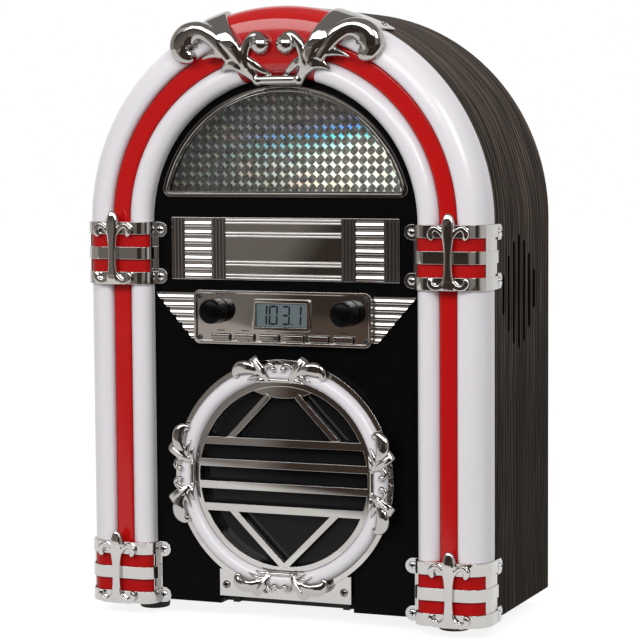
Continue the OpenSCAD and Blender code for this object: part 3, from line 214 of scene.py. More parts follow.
def woodVinyl():
    material, tree, body = shaderTree("woodVinyl")
    place = addNode(tree, "ShaderNodeTexCoord")
    sway = addNode(tree, "ShaderNodeTexNoise", Scale=vinyl["bendScale"], Detail=3.0)
    tree.links.new(place.outputs["Object"], sway.inputs["Vector"])
    shift = maths(tree, "MULTIPLY", maths(tree, "SUBTRACT", sway.outputs[0], 0.5), vinyl["bend"] * 2)
    across = addNode(tree, "ShaderNodeCombineXYZ")
    tree.links.new(shift, across.inputs["Y"])
    bent = addNode(tree, "ShaderNodeVectorMath", operation="ADD")
    tree.links.new(place.outputs["Object"], bent.inputs[0])
    tree.links.new(across.outputs[0], bent.inputs[1])

    def drawn(stretch, kind, **settings):
        mapped = addNode(tree, "ShaderNodeMapping", Scale=stretch)
        texture = addNode(tree, kind, **settings)
        tree.links.new(bent.outputs[0], mapped.inputs["Vector"])
        tree.links.new(mapped.outputs[0], texture.inputs["Vector"])
        return texture

    def streaks(part, detail, rough):
        return drawn(vinyl[part], "ShaderNodeTexNoise", Scale=1.0, Detail=detail, Roughness=rough).outputs[0]

    def times(a, b):
        return blend(tree, "MULTIPLY", 1.0, a, b)

    tone = ramp(tree, streaks("broad", 3, 0.5), [(0.34, vinyl["dark"]), (0.66, vinyl["pale"])])
    line = ramp(tree, streaks("lines", 3, 0.55), vinyl["lineTones"])
    fleck = ramp(tree, streaks("pores", 2, 0.5), vinyl["poreTones"])
    rings = drawn(vinyl["drawnOut"], "ShaderNodeTexWave", wave_type="BANDS", bands_direction="Y", **vinyl["rings"])
    grain = times(times(line, ramp(tree, rings.outputs["Fac"], vinyl["ringTones"])), fleck)
    axes = addNode(tree, "ShaderNodeSeparateXYZ")     # paler towards the top of the arch
    tree.links.new(place.outputs["Object"], axes.inputs[0])
    # painted sheen: the vinyl is painted paler towards the top of the arch, in place of the light that catches the
    # upper curve
    paintedSheen = ramp(tree, axes.outputs["Z"], vinyl["sheenByHeight"])
    tree.links.new(times(times(tone, paintedSheen), grain), body.inputs["Base Color"])
    body.inputs["Roughness"].default_value = vinyl["rough"]
    body.inputs["IOR"].default_value = vinyl["ior"]
    bumpOf(tree, body, grain, vinyl["relief"], vinyl["deep"])
    return material


def clearPlastic(name, colour, rough, through, ior):
    material, tree, body = shaderTree(name)
    noise = grainNoise(tree, (30, 30, 30))
    tree.links.new(rangeOf(tree, noise, rough * 0.7, rough * 1.3), body.inputs["Roughness"])
    darker = tuple(c * 0.94 for c in colour)
    tree.links.new(ramp(tree, noise, [(0.3, darker), (0.7, colour)]), body.inputs["Base Color"])
    body.inputs["Transmission Weight"].default_value = through
    body.inputs["IOR"].default_value = ior
    return material


# silver prism film with painted glints and painted reflection: slanted dark lozenges between bright painted glint
# points, the painted reflection white at lower right, blue above, dim at left
prism = {"pitchX": 5.6 * mm, "pitchZ": 5.8 * mm, "long": 0.64, "short": 0.52, "power": 4.0, "crisp": 1.2,
         "bandZ": 0.305, "bandSlope": 0.12, "deep": 0.04, "drift": 0.02, "dimX": -0.05, "spanX": 0.085,
         "room": 1.9, "wider": 1.02, "glow": 0.7, "rough": 0.45, "ior": 1.2, "dim": (0.13, 0.1235, 0.118),
         "tints": [(0.3, (0.105, 0.1, 0.093)), (0.37, (0.14, 0.125, 0.21)), (0.43, (0.08, 0.22, 0.6)),
                   (0.5, (0.1, 0.46, 0.52)), (0.58, (0.54, 0.68, 0.64)), (0.66, (0.7, 0.67, 0.64)),
                   (0.9, (0.74, 0.73, 0.64))],
         "patches": [(0.36, (1.0, 0.72, 0.62)), (0.46, (0.98, 0.96, 0.7)), (0.54, (0.7, 1.0, 0.86)),
                     (0.64, (0.78, 0.8, 1.0))],
         "ground": [(0.0, (0.0295, 0.0284, 0.0264)), (1.0, (0.08, 0.077, 0.067))],
         "mottle": greys((0.36, 0.55), (0.64, 1.45)), "reached": greys((0.36, 0), (0.6, 1))}


def prismFilm():
    material, tree, body = shaderTree("prismFilm")

    def calc(operation, a, b=None):
        return maths(tree, operation, a, b)

    def cell(along, pitch):
        return calc("SUBTRACT", calc("FRACT", calc("MULTIPLY", along, 1 / pitch)), 0.5)

    def bulge(reach, half):
        return calc("POWER", calc("MULTIPLY", calc("ABSOLUTE", reach), 1 / half), prism["power"])

    x, _, z = objectAxes(tree)
    u, v = cell(x, prism["pitchX"]), cell(z, prism["pitchZ"])
    long, short = bulge(calc("ADD", u, v), prism["long"]), bulge(calc("SUBTRACT", u, v), prism["short"])
    drift = calc("MULTIPLY", calc("SUBTRACT", grainNoise(tree, (26, 26, 26)), 0.5), prism["drift"])
    top = calc("ADD", calc("MULTIPLY", x, prism["bandSlope"]), prism["bandZ"])
    below = calc("MULTIPLY", calc("ADD", calc("SUBTRACT", top, z), drift), 1 / prism["deep"])
    depth = rangeOf(tree, calc("ADD", calc("MULTIPLY", below, 0.5), 0.4), 0, 1)
    # painted reflection: the film is painted dim at the left and brighter towards the right
    reach = addNode(tree, "ShaderNodeMapRange",
                    **{"From Min": prism["dimX"], "From Max": prism["dimX"] + prism["spanX"]})
    tree.links.new(calc("ADD", x, calc("MULTIPLY", drift, 2.0)), reach.inputs[0])
    patch = ramp(tree, grainNoise(tree, (60, 60, 60), detail=2), prism["patches"])
    dim = blend(tree, "MULTIPLY", 1.0, prism["dim"], patch)
    tint = blend(tree, "MULTIPLY", 0.5, ramp(tree, depth, prism["tints"]), patch)
    lit = blend(tree, "MIX", reach.outputs[0], dim, tint)
    bright = calc("MULTIPLY", reach.outputs[0], ramp(tree, depth, prism["reached"]))
    room = calc("ADD", calc("MULTIPLY", bright, -prism["wider"]), prism["room"])
    point = rangeOf(tree, calc("MULTIPLY", calc("SUBTRACT", calc("ADD", long, short), room), prism["crisp"]), 0, 1)
    mottle = ramp(tree, grainNoise(tree, (420, 420, 420), detail=2), prism["mottle"])
    ground = blend(tree, "MULTIPLY", 1.0, ramp(tree, bright, prism["ground"]), mottle)
    colour = blend(tree, "MIX", point, ground, lit)
    tree.links.new(colour, body.inputs["Base Color"])
    # the film's colour is also emitted, a painted glow, though the film is no lamp
    tree.links.new(colour, body.inputs["Emission Color"])
    body.inputs["Emission Strength"].default_value = prism["glow"]
    body.inputs["IOR"].default_value = prism["ior"]
    body.inputs["Roughness"].default_value = prism["rough"]
    return material


finishes = {
    "chrome": moulded("chrome", (0.5, 0.486, 0.472), 0.035, spread=0.012, metal=1.0, cloud=0.02),
    "castChrome": moulded("castChrome", (0.42, 0.405, 0.39), 0.035, spread=0.012, metal=1.0, cloud=0.02),
    "rimDark": moulded("rimDark", (0.2, 0.197, 0.194), 0.08, metal=1.0),
    "tabChrome": moulded("tabChrome", (0.27, 0.255, 0.24), 0.1, metal=1.0),
    "milk": moulded("milk", (0.72, 0.695, 0.725), 0.28, spread=0.01, cloud=0.004, coat=0.15),
    "red": moulded("red", (0.45, 0.005, 0.005), 0.18, spread=0.01, cloud=0.02, coat=0.2, ior=1.3),
    "crownRed": moulded("crownRed", (0.43, 0.006, 0.006), 0.2, spread=0.01, cloud=0.02, coat=0.6, ior=1.3),
    "sleeveRed": moulded("sleeveRed", (0.4, 0.004, 0.004), 0.4, spread=0.02, cloud=0.03, ior=1.2),
    "panelBlack": moulded("panelBlack", (0.0025, 0.0025, 0.0027), 0.3, ior=1.1),
    "mattBlack": moulded("mattBlack", (0.014, 0.014, 0.015), 0.55, grain=0.25, ior=1.35),
    "knobBlack": moulded("knobBlack", (0.002, 0.002, 0.002), 0.24, spread=0.02, ior=1.14),
    "rubber": moulded("rubber", (0.01, 0.01, 0.01), 0.75, grain=0.5),
    "steel": moulded("steel", (0.62, 0.62, 0.63), 0.2, metal=1.0),
    "darkSteel": moulded("darkSteel", (0.05, 0.05, 0.055), 0.4),
    "boardGreen": moulded("boardGreen", (0.015, 0.11, 0.045), 0.4),
    "paper": moulded("paper", (0.015, 0.015, 0.015), 0.85, grain=0.6),
    "lcdGlass": moulded("lcdGlass", (0.115, 0.145, 0.155), 0.22, ior=1.2),
    "lcdDark": moulded("lcdDark", (0.008, 0.011, 0.014), 0.4, ior=1.2),
    "wood": woodVinyl(),
    "lens": clearPlastic("lens", (0.97, 0.98, 0.98), 0.03, 1.0, 1.12),
    "smoked": clearPlastic("smoked", (0.014, 0.014, 0.015), 0.05, 0.4, 1.2),
    "film": prismFilm(),
}

nodeFinish = {
    "wood": ["cabinet_shell"],
    "mattBlack": ["base_board", "rear_cover", "display_light_box", "tact_switches", "disc_well", "mains_inlet",
                  "latch_body", "turntable_hub", "optical_pickup", "hinge_brackets", "hinge_pin"],
    "panelBlack": ["front_panel"],
    "rubber": ["rubber_feet"],
    "milk": ["arch_light_cover", "pillar_light_covers", "door_light_ring", "sled_gear", "latch_plunger"],
    "red": ["red_stripes", "red_crown", "red_sleeves"],
    "chrome": ["upper_left_clamp", "upper_right_clamp", "lower_left_clamp", "lower_right_clamp", "crest_ornament",
               "window_bezel", "title_plate", "tuner_faceplate", "left_wing", "right_wing", "lcd_bezel",
               "door_frame", "door_clasps", "button_1", "button_2", "button_3", "button_4", "button_5", "button_6"],
    "steel": ["rear_cover_screws", "trim_screws", "rotary_controls", "cd_chassis", "sled_guide_rods",
              "door_screws"],
    "darkSteel": ["deck_motors", "speaker_baskets", "power_transformer"],
    "boardGreen": ["control_board", "main_board", "led_strips"],
    "paper": ["speaker_cones"],
    "lcdGlass": ["lcd_module"],
    "lens": ["window_lens"],
    "smoked": ["door_window"],
    "film": ["hologram_sheet"],
    "knobBlack": ["volume_knob", "selector_knob"],
}
finishOf = {}
for finish, names in nodeFinish.items():
    for name in names:
        nodes[name].data.materials.clear()
        nodes[name].data.materials.append(finishes[finish])
        finishOf[name] = finish
print("CAD nodes finished:", len(finishOf))


# mesh helpers
def linked(name, mesh, finish=None):
    if finish:
        mesh.materials.append(finishes[finish])
    piece = bpy.data.objects.new(name, mesh)
    bpy.context.scene.collection.objects.link(piece)
    return piece


def pieceOf(bm, name, finish=None):
    bmesh.ops.recalc_face_normals(bm, faces=bm.faces)
    mesh = bpy.data.meshes.new(name)
    bm.to_mesh(mesh)
    bm.free()
    return linked(name, mesh, finish)


def newPiece(name, points, faces, finish):
    mesh = bpy.data.meshes.new(name)
    mesh.from_pydata(points, [], faces)
    piece = linked(name, mesh, finish)
    shadeSmooth(piece)
    return piece


# walls from ring to ring of points, closed by the first and the last
def skin(bm, rings, caps=True):
    n = len(rings[0])
    for a, b in zip(rings, rings[1:]):
        for k in range(n):
            bm.faces.new((a[k], a[(k + 1) % n], b[(k + 1) % n], b[k]))
    if caps:
        bm.faces.new(rings[0])
        bm.faces.new(rings[-1])


def shadeSmooth(piece, sharp=35):
    piece.data.shade_smooth()
    piece.data.set_sharp_from_angle(angle=math.radians(sharp))


def bakeModifiers(piece):
    shown = piece.evaluated_get(bpy.context.evaluated_depsgraph_get())
    baked = bpy.data.meshes.new_from_object(shown)
    piece.modifiers.clear()
    old = piece.data
    piece.data = baked
    bpy.data.meshes.remove(old)
    baked.name = piece.name


# rounded edges whose flat neighbours keep their own normals, so that an edge draws a thin bright line
def softenEdges(piece, width, angle=32, clamp=True):
    piece.data.shade_smooth()
    if "sharp_edge" in piece.data.attributes:
        piece.data.attributes.remove(piece.data.attributes["sharp_edge"])
    bevel = piece.modifiers.new("edges", "BEVEL")
    bevel.width = width
    bevel.segments = 2
    bevel.limit_method = "ANGLE"
    bevel.angle_limit = math.radians(angle)
    bevel.use_clamp_overlap = clamp
    even = piece.modifiers.new("even", "WEIGHTED_NORMAL")
    even.weight = 100
    even.keep_sharp = False
    bakeModifiers(piece)


# a CAD node's own shape with its edges rounded
softMake = {"merge": 2e-6, "flat": math.radians(0.6), "clamped": ("cabinet_shell", "rear_cover")}


def softCopy(node, width):
    bm = bmesh.new()
    bm.from_mesh(nodes[node].data)
    bmesh.ops.remove_doubles(bm, verts=bm.verts, dist=softMake["merge"])
    bmesh.ops.dissolve_limit(bm, angle_limit=softMake["flat"], verts=bm.verts, edges=bm.edges)
    bm.verts.index_update()
    points = [v.co.copy() for v in bm.verts]
    faces = [[v.index for v in f.verts] for f in bm.faces]
    bm.free()
    piece = newPiece(node + "_soft", points, faces, finishOf[node])
    softenEdges(piece, width, clamp=node in softMake["clamped"])
    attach(piece, nodes[node]["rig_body"])
    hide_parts(node)
    return piece


buttons = ["button_%d" % (k + 1) for k in range(6)]
softNodes = {"door_frame": 0.22, "tuner_faceplate": 0.28, "lcd_bezel": 0.3, "cabinet_shell": 0.5, "rear_cover": 0.5,
             "rubber_feet": 0.8, **dict.fromkeys(buttons, 0.3)}
for node, width in softNodes.items():
    piece = softCopy(node, width * mm)
    print("softened", node, len(piece.data.polygons))

# the vinyl stops at the vents' edges, and faces on the vents' inner walls take the black panel finish
ventWalls = {"minX": 110 * mm, "inset": 15 * mm, "foot": 40 * mm, "steep": 0.5}


def blackenVents(piece):
    low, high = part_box("cabinet_shell")
    piece.data.materials.append(finishes["panelBlack"])
    for face in piece.data.polygons:
        x, y, z = face.center
        inside = low.y + ventWalls["inset"] < y < high.y - ventWalls["inset"] and z > ventWalls["foot"]
        if inside and abs(x) > ventWalls["minX"] and abs(face.normal.x) < ventWalls["steep"]:
            face.material_index = 1


blackenVents(bpy.data.objects["cabinet_shell_soft"])


# cast scroll work: limbs swept along smoothed rows, then fused by a voxel remesh
def smoothRows(rows, steps):
    fine = []
    for i in range(len(rows) - 1):
        a, b, c, d = rows[max(i - 1, 0)], rows[i], rows[i + 1], rows[min(i + 2, len(rows) - 1)]
        for k in range(steps):
            t = k / steps
            fine.append([0.5 * (2 * q + (r - p) * t + (2 * p - 5 * q + 4 * r - s) * t * t
                                + (3 * q - 3 * r + s - p) * t ** 3) for p, q, r, s in zip(a, b, c, d)])
    fine.append(list(rows[-1]))
    return fine


# "square" below 1 flattens the section's faces and leaves its corners round
def sweepLimb(path, wides, thicks, across=None, sides=24, square=1.0):
    points, faces = [], []
    last = len(path) - 1
    for i, centre in enumerate(path):
        ahead = (path[min(i + 1, last)] - path[max(i - 1, 0)]).normalized()
        wide = across[i] if across else ahead.cross(Vector((0, 1, 0))).normalized()
        thick = ahead.cross(wide).normalized()
        for k in range(sides):
            turn = 2 * math.pi * k / sides
            c, s = (math.copysign(abs(q) ** square, q) for q in (math.cos(turn), math.sin(turn)))
            points.append(centre + wides[i] * c * wide + thicks[i] * s * thick)
    for i in range(last):
        for k in range(sides):
            a, b = i * sides + k, i * sides + (k + 1) % sides
            faces.append((a, b, b + sides, a + sides))
    faces.append(tuple(reversed(range(sides))))
    faces.append(tuple(last * sides + k for k in range(sides)))
    return points, faces


def ballMesh(centre, radius, rings=10, sides=16):
    points = [centre + Vector((0, 0, radius))]
    for i in range(1, rings):
        up = math.pi * i / rings
        for k in range(sides):
            turn = 2 * math.pi * k / sides
            out = math.sin(up)
            points.append(centre + radius * Vector((out * math.cos(turn), out * math.sin(turn), math.cos(up))))
    points.append(centre - Vector((0, 0, radius)))
    faces = [(0, 1 + k, 1 + (k + 1) % sides) for k in range(sides)]
    for i in range(rings - 2):
        for k in range(sides):
            a, b = 1 + i * sides + k, 1 + i * sides + (k + 1) % sides
            faces.append((a, a + sides, b + sides, b))
    base = 1 + (rings - 2) * sides
    faces += [(base + k, len(points) - 1, base + (k + 1) % sides) for k in range(sides)]
    return points, faces


def castPiece(name, shapes, voxel, finish="castChrome", relax=6):
    bm = bmesh.new()
    for points, faces in shapes:
        verts = [bm.verts.new(p) for p in points]
        for face in faces:
            bm.faces.new([verts[i] for i in face])
    piece = pieceOf(bm, name, finish)
    fuse = piece.modifiers.new("fuse", "REMESH")
    fuse.mode = "VOXEL"
    fuse.voxel_size = voxel
    ease = piece.modifiers.new("ease", "SMOOTH")
    ease.factor = 0.5
    ease.iterations = relax
    bakeModifiers(piece)
    piece.data.materials.clear()
    piece.data.materials.append(finishes[finish])
    piece.data.shade_smooth()
    return piece


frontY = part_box("front_panel")[0].y
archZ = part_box("cabinet_shell")[1].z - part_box("cabinet_shell")[1].x

# rows of [share of the spread, share of the height, out, half width, half thickness], in mm
crest = {
    "barIn": 85.3, "high": 49.5, "spread": 32.6, "voxel": 0.45 * mm,
    "limbs": {
        "arm": [[0.36, 0.22, 10.8, 3.0, 2.6], [0.41, 0.447, 13.2, 4.4, 3.2], [0.471, 0.613, 13.2, 6.2, 3.4],
                [0.529, 0.769, 11.0, 7.6, 3.0], [0.57, 0.9, 6.0, 8.6, 2.6], [0.582, 0.957, -1.0, 8.8, 2.2],
                [0.585, 0.965, -9, 7.2, 1.6], [0.586, 0.958, -16, 5.0, 1.4]],
        "scroll": [[0.5, 0.37, 12.0, 3.4, 2.8], [0.548, 0.548, 12.6, 4.8, 3.6], [0.604, 0.702, 12.4, 5.4, 4.2],
                   [0.67, 0.816, 11.6, 5.5, 4.6], [0.748, 0.872, 10.6, 6.4, 5.2], [0.836, 0.868, 9.6, 8.0, 6.0],
                   [0.9, 0.8, 9.0, 9.2, 6.4], [0.915, 0.715, 9.0, 8.4, 6.0], [0.89, 0.65, 9.6, 5.8, 4.6],
                   [0.85, 0.63, 10.2, 3.2, 3.0]],
        "upperLeaf": [[0.388, 0.306, 11.6, 2.4, 2.4], [0.486, 0.423, 12.4, 3.6, 2.8], [0.603, 0.499, 12.2, 3.1, 2.4],
                      [0.707, 0.521, 11.2, 1.8, 1.7], [0.796, 0.523, 10.4, 0.5, 0.7]],
        "lowerLeaf": [[0.289, 0.069, 5.5, 2.8, 2.2], [0.352, 0.204, 9.4, 4.6, 2.8], [0.442, 0.298, 11.6, 4.5, 2.8],
                      [0.545, 0.316, 11.2, 3.2, 2.2], [0.65, 0.28, 10.4, 0.6, 0.8]],
        "curl": [[0.305, 0.092, 6.5, 2.6, 2.2], [0.352, 0.245, 11.0, 3.3, 2.8], [0.329, 0.384, 12.6, 3.3, 2.8],
                 [0.265, 0.508, 13.2, 3.2, 2.8], [0.186, 0.576, 13.4, 3.3, 2.8], [0.129, 0.54, 13.4, 3.8, 3.0]],
        "petal": [[0.322, 0.342, 12.6, 1.6, 1.9], [0.249, 0.25, 11.6, 2.5, 2.0], [0.169, 0.165, 9.4, 2.0, 1.8],
                  [0.089, 0.108, 6.4, 0.8, 1.0]],
    },
    "square": {"arm": 0.5, "scroll": 0.75, "upperLeaf": 0.8, "lowerLeaf": 0.75, "curl": 0.8, "petal": 0.7},
    "balls": [[0.134, 0.474, 12.8, 6.5]],
    "bar": [0.272, 0.06, 5.6, 3.2], "out": 11.4, "size": 1.0,
}
castWork = {"restOut": 10, "rowSteps": 7, "barSteps": 8, "barBead": 0.7}


# one crest about a centre on the front; "out" lifts it to the face that it lies on, "size" scales its thickness
def crestShapes(make, centre, turn=0.0):
    spin = Matrix.Rotation(turn, 4, "Y")
    spread, size = make["spread"], make["size"]

    def spot(share, rise, out, side):
        angle = side * math.radians(share * spread)
        r = make["barIn"] + rise * make["high"]
        depth = make["out"] + (out - castWork["restOut"]) * size
        return centre + spin @ (Vector((r * math.sin(angle), -depth, r * math.cos(angle))) * mm)

    def edgeWay(share, side):
        angle = math.radians(share * spread)
        return spin @ Vector((math.cos(angle), 0, -side * math.sin(angle)))

    shapes = []
    for side in (-1, 1):
        for kind, rows in make["limbs"].items():
            fine = smoothRows(rows, castWork["rowSteps"])
            path = [spot(*q[:3], side) for q in fine]
            wides, thicks = ([q[k] * size * mm for q in fine] for k in (3, 4))
            wrapped = rows[-1][2] < 0      # it goes back over the edge
            along = [edgeWay(q[0], side) for q in fine] if wrapped else None
            shapes.append(sweepLimb(path, wides, thicks, along, square=make["square"][kind]))
        for ball in make["balls"]:
            shapes.append(ballMesh(spot(*ball[:3], side), ball[3] * size * mm))
        shapes.append(ballMesh(spot(*make["bar"][:3], side), (make["bar"][3] + castWork["barBead"]) * size * mm))
    tips = [spot(*make["bar"][:3], side) for side in (-1, 1)]
    path = [tips[0].lerp(tips[1], k / castWork["barSteps"]) for k in range(castWork["barSteps"] + 1)]
    thick = [make["bar"][3] * size * mm] * len(path)
    return shapes + [sweepLimb(path, thick, thick)]


def placed(piece, body, *replaced):
    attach(piece, body)
    if replaced:
        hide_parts(*replaced)
    return piece


archCentre = Vector((0, frontY, archZ))
topCrest = castPiece("crest", crestShapes(crest, archCentre), crest["voxel"])
placed(topCrest, "cabinet", "crest_ornament")
print("crest:", len(topCrest.data.polygons), "faces")

clasp = {
    "barIn": 59.5, "high": 16.5, "spread": 25.1, "out": 9.6, "size": 0.54, "voxel": 0.33 * mm,
    "limbs": {
        "arm": [[0.3, 0.12, 9.5, 2.8, 2.2], [0.37, 0.38, 12.0, 4.8, 2.6], [0.45, 0.62, 12.8, 6.4, 2.8],
                [0.52, 0.86, 11.8, 7.0, 2.6], [0.545, 0.97, 9.0, 6.2, 2.2]],
        "rib": [[0.33, 0.22, 12.0, 0.9, 1.2], [0.39, 0.46, 14.6, 1.3, 1.5], [0.455, 0.7, 15.0, 1.4, 1.5],
                [0.5, 0.88, 13.6, 1.0, 1.2]],
        "scroll": [[0.42, 0.32, 11.0, 2.8, 2.4], [0.54, 0.54, 12.0, 5.4, 4.0], [0.67, 0.7, 11.8, 7.6, 5.2],
                   [0.81, 0.76, 10.6, 8.2, 5.4], [0.92, 0.7, 9.8, 7.0, 4.8], [0.97, 0.58, 9.8, 4.8, 3.6],
                   [0.93, 0.5, 10.2, 2.8, 2.4]],
        "upperLeaf": [[0.36, 0.25, 11.0, 1.6, 1.8], [0.5, 0.29, 12.4, 2.6, 2.2], [0.64, 0.28, 11.8, 2.0, 1.8],
                      [0.78, 0.24, 10.8, 0.5, 0.7]],
        "lowerLeaf": [[0.28, 0.04, 6.5, 2.2, 2.0], [0.38, 0.08, 9.6, 2.8, 2.2], [0.5, 0.1, 10.8, 2.2, 1.8],
                      [0.64, 0.06, 10.2, 0.5, 0.7]],
        "curl": [[0.29, 0.1, 7.5, 2.0, 2.0], [0.33, 0.34, 11.4, 2.4, 2.2], [0.28, 0.58, 12.6, 2.4, 2.2],
                 [0.18, 0.66, 13.0, 2.4, 2.2], [0.11, 0.57, 13.0, 2.8, 2.4]],
    },
    "square": {"arm": 0.5, "rib": 0.8, "scroll": 0.75, "upperLeaf": 0.8, "lowerLeaf": 0.75, "curl": 0.8},
    "balls": [[0.115, 0.48, 13.0, 3.6]],
    "bar": [0.272, 0.06, 7.6, 2.8],
}
doorZ = (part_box("door_window")[0].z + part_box("door_window")[1].z) / 2
doorCentre = Vector((0, frontY, doorZ))
shapes = []
for quarter in range(4):
    shapes += crestShapes(clasp, doorCentre, math.pi / 2 * quarter)
clasps = castPiece("ringClasps", shapes, clasp["voxel"], relax=2)
placed(clasps, "disc_door", "door_clasps")
print("ring clasps:", len(clasps.data.polygons), "faces")

# flat tabs that carry the crest back over the arch to a screw on each side
tab = {"from": 16.5, "to": 28.6, "steps": 14, "r": 132.2, "thick": 1.4, "near": -3.0, "far": 28.0, "cut": 3.0,
       "soft": 0.4, "screwAt": 25.6, "screwDepth": 23.5}


def crestTab(side):
    bm = bmesh.new()
    steps, inner, outer, near = tab["steps"], tab["r"], tab["r"] + tab["thick"], tab["near"]
    rings = []
    for i in range(steps + 1):
        a = math.radians(tab["from"] + (tab["to"] - tab["from"]) * i / steps)
        far = tab["far"] - (tab["cut"] if i in (0, steps) else 0)
        ring = []
        for r, depth in ((inner, near), (outer, near), (outer, far), (inner, far)):
            place = (side * r * mm * math.sin(a), frontY + depth * mm, archZ + r * mm * math.cos(a))
            ring.append(bm.verts.new(place))
        rings.append(ring)
    skin(bm, rings)
    piece = pieceOf(bm, "crestTab")
    softenEdges(piece, tab["soft"] * mm)
    return piece


# the cross on a clamp: rows of [across, up, out, half width, half thickness], in mm
cross = {
    "across": 110.9, "voxel": 0.32 * mm, "square": 0.45, "rowSteps": 6,
    "stem": [[0, 26.4, 13.2, 0.9, 1.0], [0, 24.4, 13.2, 2.6, 1.8], [0, 19.5, 13.0, 3.9, 2.6], [0, 13, 13.0, 3.8, 2.6],
             [0, 5, 13.0, 2.8, 2.6], [0, -4, 13.0, 2.6, 2.6], [0, -10, 13.0, 3.0, 2.6], [0, -15.5, 13.0, 4.3, 2.5],
             [0, -19.4, 12.8, 5.6, 2.0]],
    "curls": [[[2.0, 11.6, 13.0, 1.5, 2.2], [5.2, 15.8, 13.0, 1.5, 2.2], [8.6, 17.4, 13.0, 1.7, 2.2],
               [11.0, 15.3, 13.0, 2.0, 2.2], [11.0, 12.6, 13.0, 1.8, 2.0], [9.6, 11.0, 12.8, 1.2, 1.6]],
              [[2.0, -14.8, 13.0, 2.2, 2.2], [5.4, -17.4, 13.0, 1.8, 2.2], [8.8, -17.6, 13.0, 1.9, 2.2],
               [11.2, -15.6, 13.0, 2.0, 2.2], [10.9, -13.1, 13.0, 1.7, 2.0], [9.4, -12.4, 12.8, 1.1, 1.4]]],
}
clampMake = {"high": 39.0, "inner": 86.7, "outer": 133.6, "front": 12.4, "innerRound": 8.3, "outerRound": 14.8,
             "bandThick": 2.2, "legThick": 1.3, "legSunk": 0.8, "legShort": 0.3, "back": 13.0,
             "flange": (-1.8, 1.2, 1.4), "earX": 83.6, "earR": 4.8, "earZ": 14.6, "earThick": 1.6, "earOver": 0.6,
             "sideEar": 20.1, "sideSunk": 0.9, "sideTall": 0.8, "sideCut": 2.4, "sideThick": 2.0, "bevel": 0.3 * mm,
             "screwOut": 1.5, "screwBack": 16.3, "screwSunk": 0.1}


def arcPoints(cx, cy, r, a0, a1, n):
    turns = [math.radians(a0 + (a1 - a0) * i / n) for i in range(n + 1)]
    return [(cx + r * math.cos(a), cy + r * math.sin(a)) for a in turns]


# outline of a tube or clamp section between two points of its front, as (across, out)
def humpLine(x0, x1, low0, low1, front, r0, r1, n=10):
    bends = arcPoints(x0 + r0, front - r0, r0, 180, 90, n) + arcPoints(x1 - r1, front - r1, r1, 90, 0, n)
    return [(x0, low0)] + bends + [(x1, low1)]


def insetLine(line, depth):
    inner = []
    for i, (x, v) in enumerate(line):
        ax, av = line[max(i - 1, 0)]
        bx, bv = line[min(i + 1, len(line) - 1)]
        long = math.hypot(bx - ax, bv - av)
        inner.append((x + depth * (bv - av) / long, v - depth * (bx - ax) / long))
    return inner


def extrudeUp(bm, outline, z0, z1, side):
    skin(bm, [[bm.verts.new((side * x * mm, frontY - v * mm, z * mm)) for x, v in outline] for z in (z0, z1)])


def extrudeOut(bm, outline, v0, v1, side=1):
    skin(bm, [[bm.verts.new((side * x * mm, frontY - v * mm, z * mm)) for x, z in outline] for v in (v0, v1)])


def bentSheet(line, depth):
    return line + insetLine(line, depth)[::-1]


def crossShapes(side, zc):
    def limb(rows, flip=1):
        fine = smoothRows(rows, cross["rowSteps"])
        path = [Vector((side * (cross["across"] + flip * q[0]) * mm, frontY - q[2] * mm, (zc + q[1]) * mm))
                for q in fine]
        return sweepLimb(path, [q[3] * mm for q in fine], [q[4] * mm for q in fine], square=cross["square"])
    return [limb(cross["stem"])] + [limb(rows, flip) for rows in cross["curls"] for flip in (-1, 1)]


def buildClamp(node, side, zc):
    m = clampMake
    half, band, inner = m["high"] / 2, m["high"] / 5, m["inner"]
    bm = bmesh.new()
    full = humpLine(inner, m["outer"], 0.0, -m["back"], m["front"], m["innerRound"], m["outerRound"])
    for z in (-2 * band, 0, 2 * band):
        extrudeUp(bm, bentSheet(full, m["bandThick"]), zc + z - band / 2, zc + z + band / 2, side)
    for leg in (insetLine(full, m["legSunk"])[:4], insetLine(full, m["sideSunk"])[-5:]):
        extrudeUp(bm, bentSheet(leg, m["legThick"]), zc - half + m["legShort"], zc + half - m["legShort"], side)
    x0, x1, out = m["flange"]
    flange = [(inner + x0, 0), (inner + x0, out), (inner + x1, out), (inner + x1, 0)]
    extrudeUp(bm, flange, zc - half, zc + half, side)
    for s in (-1, 1):
        z, r, over = zc + s * m["earZ"], m["earR"], inner + m["earOver"]
        ear = arcPoints(m["earX"], z, r, 90, 270, 14) + [(over, z - r), (over, z + r)]
        extrudeOut(bm, ear, 0, m["earThick"], side)
        root, tip, tall, cut = m["back"] - 1, m["sideEar"], band / 2 + m["sideTall"], m["sideCut"]
        profile = [(root, -tall), (tip - cut, -tall), (tip, cut - tall),
                   (tip, tall - cut), (tip - cut, tall), (root, tall)]
        skin(bm, [[bm.verts.new((side * x * mm, frontY + d * mm, (z + h) * mm)) for d, h in profile]
                  for x in (m["outer"] - m["sideThick"], m["outer"])])
    sheet = pieceOf(bm, node + "_sheet")
    softenEdges(sheet, m["bevel"], angle=40)
    figure = castPiece(node + "_cross", crossShapes(side, zc), cross["voxel"], "chrome", relax=3)
    return joinPieces(node + "_cast", [sheet, figure], "chrome")


def joinPieces(name, pieces, finish):
    bm = bmesh.new()
    for piece in pieces:
        bm.from_mesh(piece.data)
    mesh = bpy.data.meshes.new(name)
    bm.to_mesh(mesh)
    bm.free()
    for piece in pieces:
        bpy.data.objects.remove(piece)
    for polygon in mesh.polygons:
        polygon.material_index = 0
    return linked(name, mesh, finish)


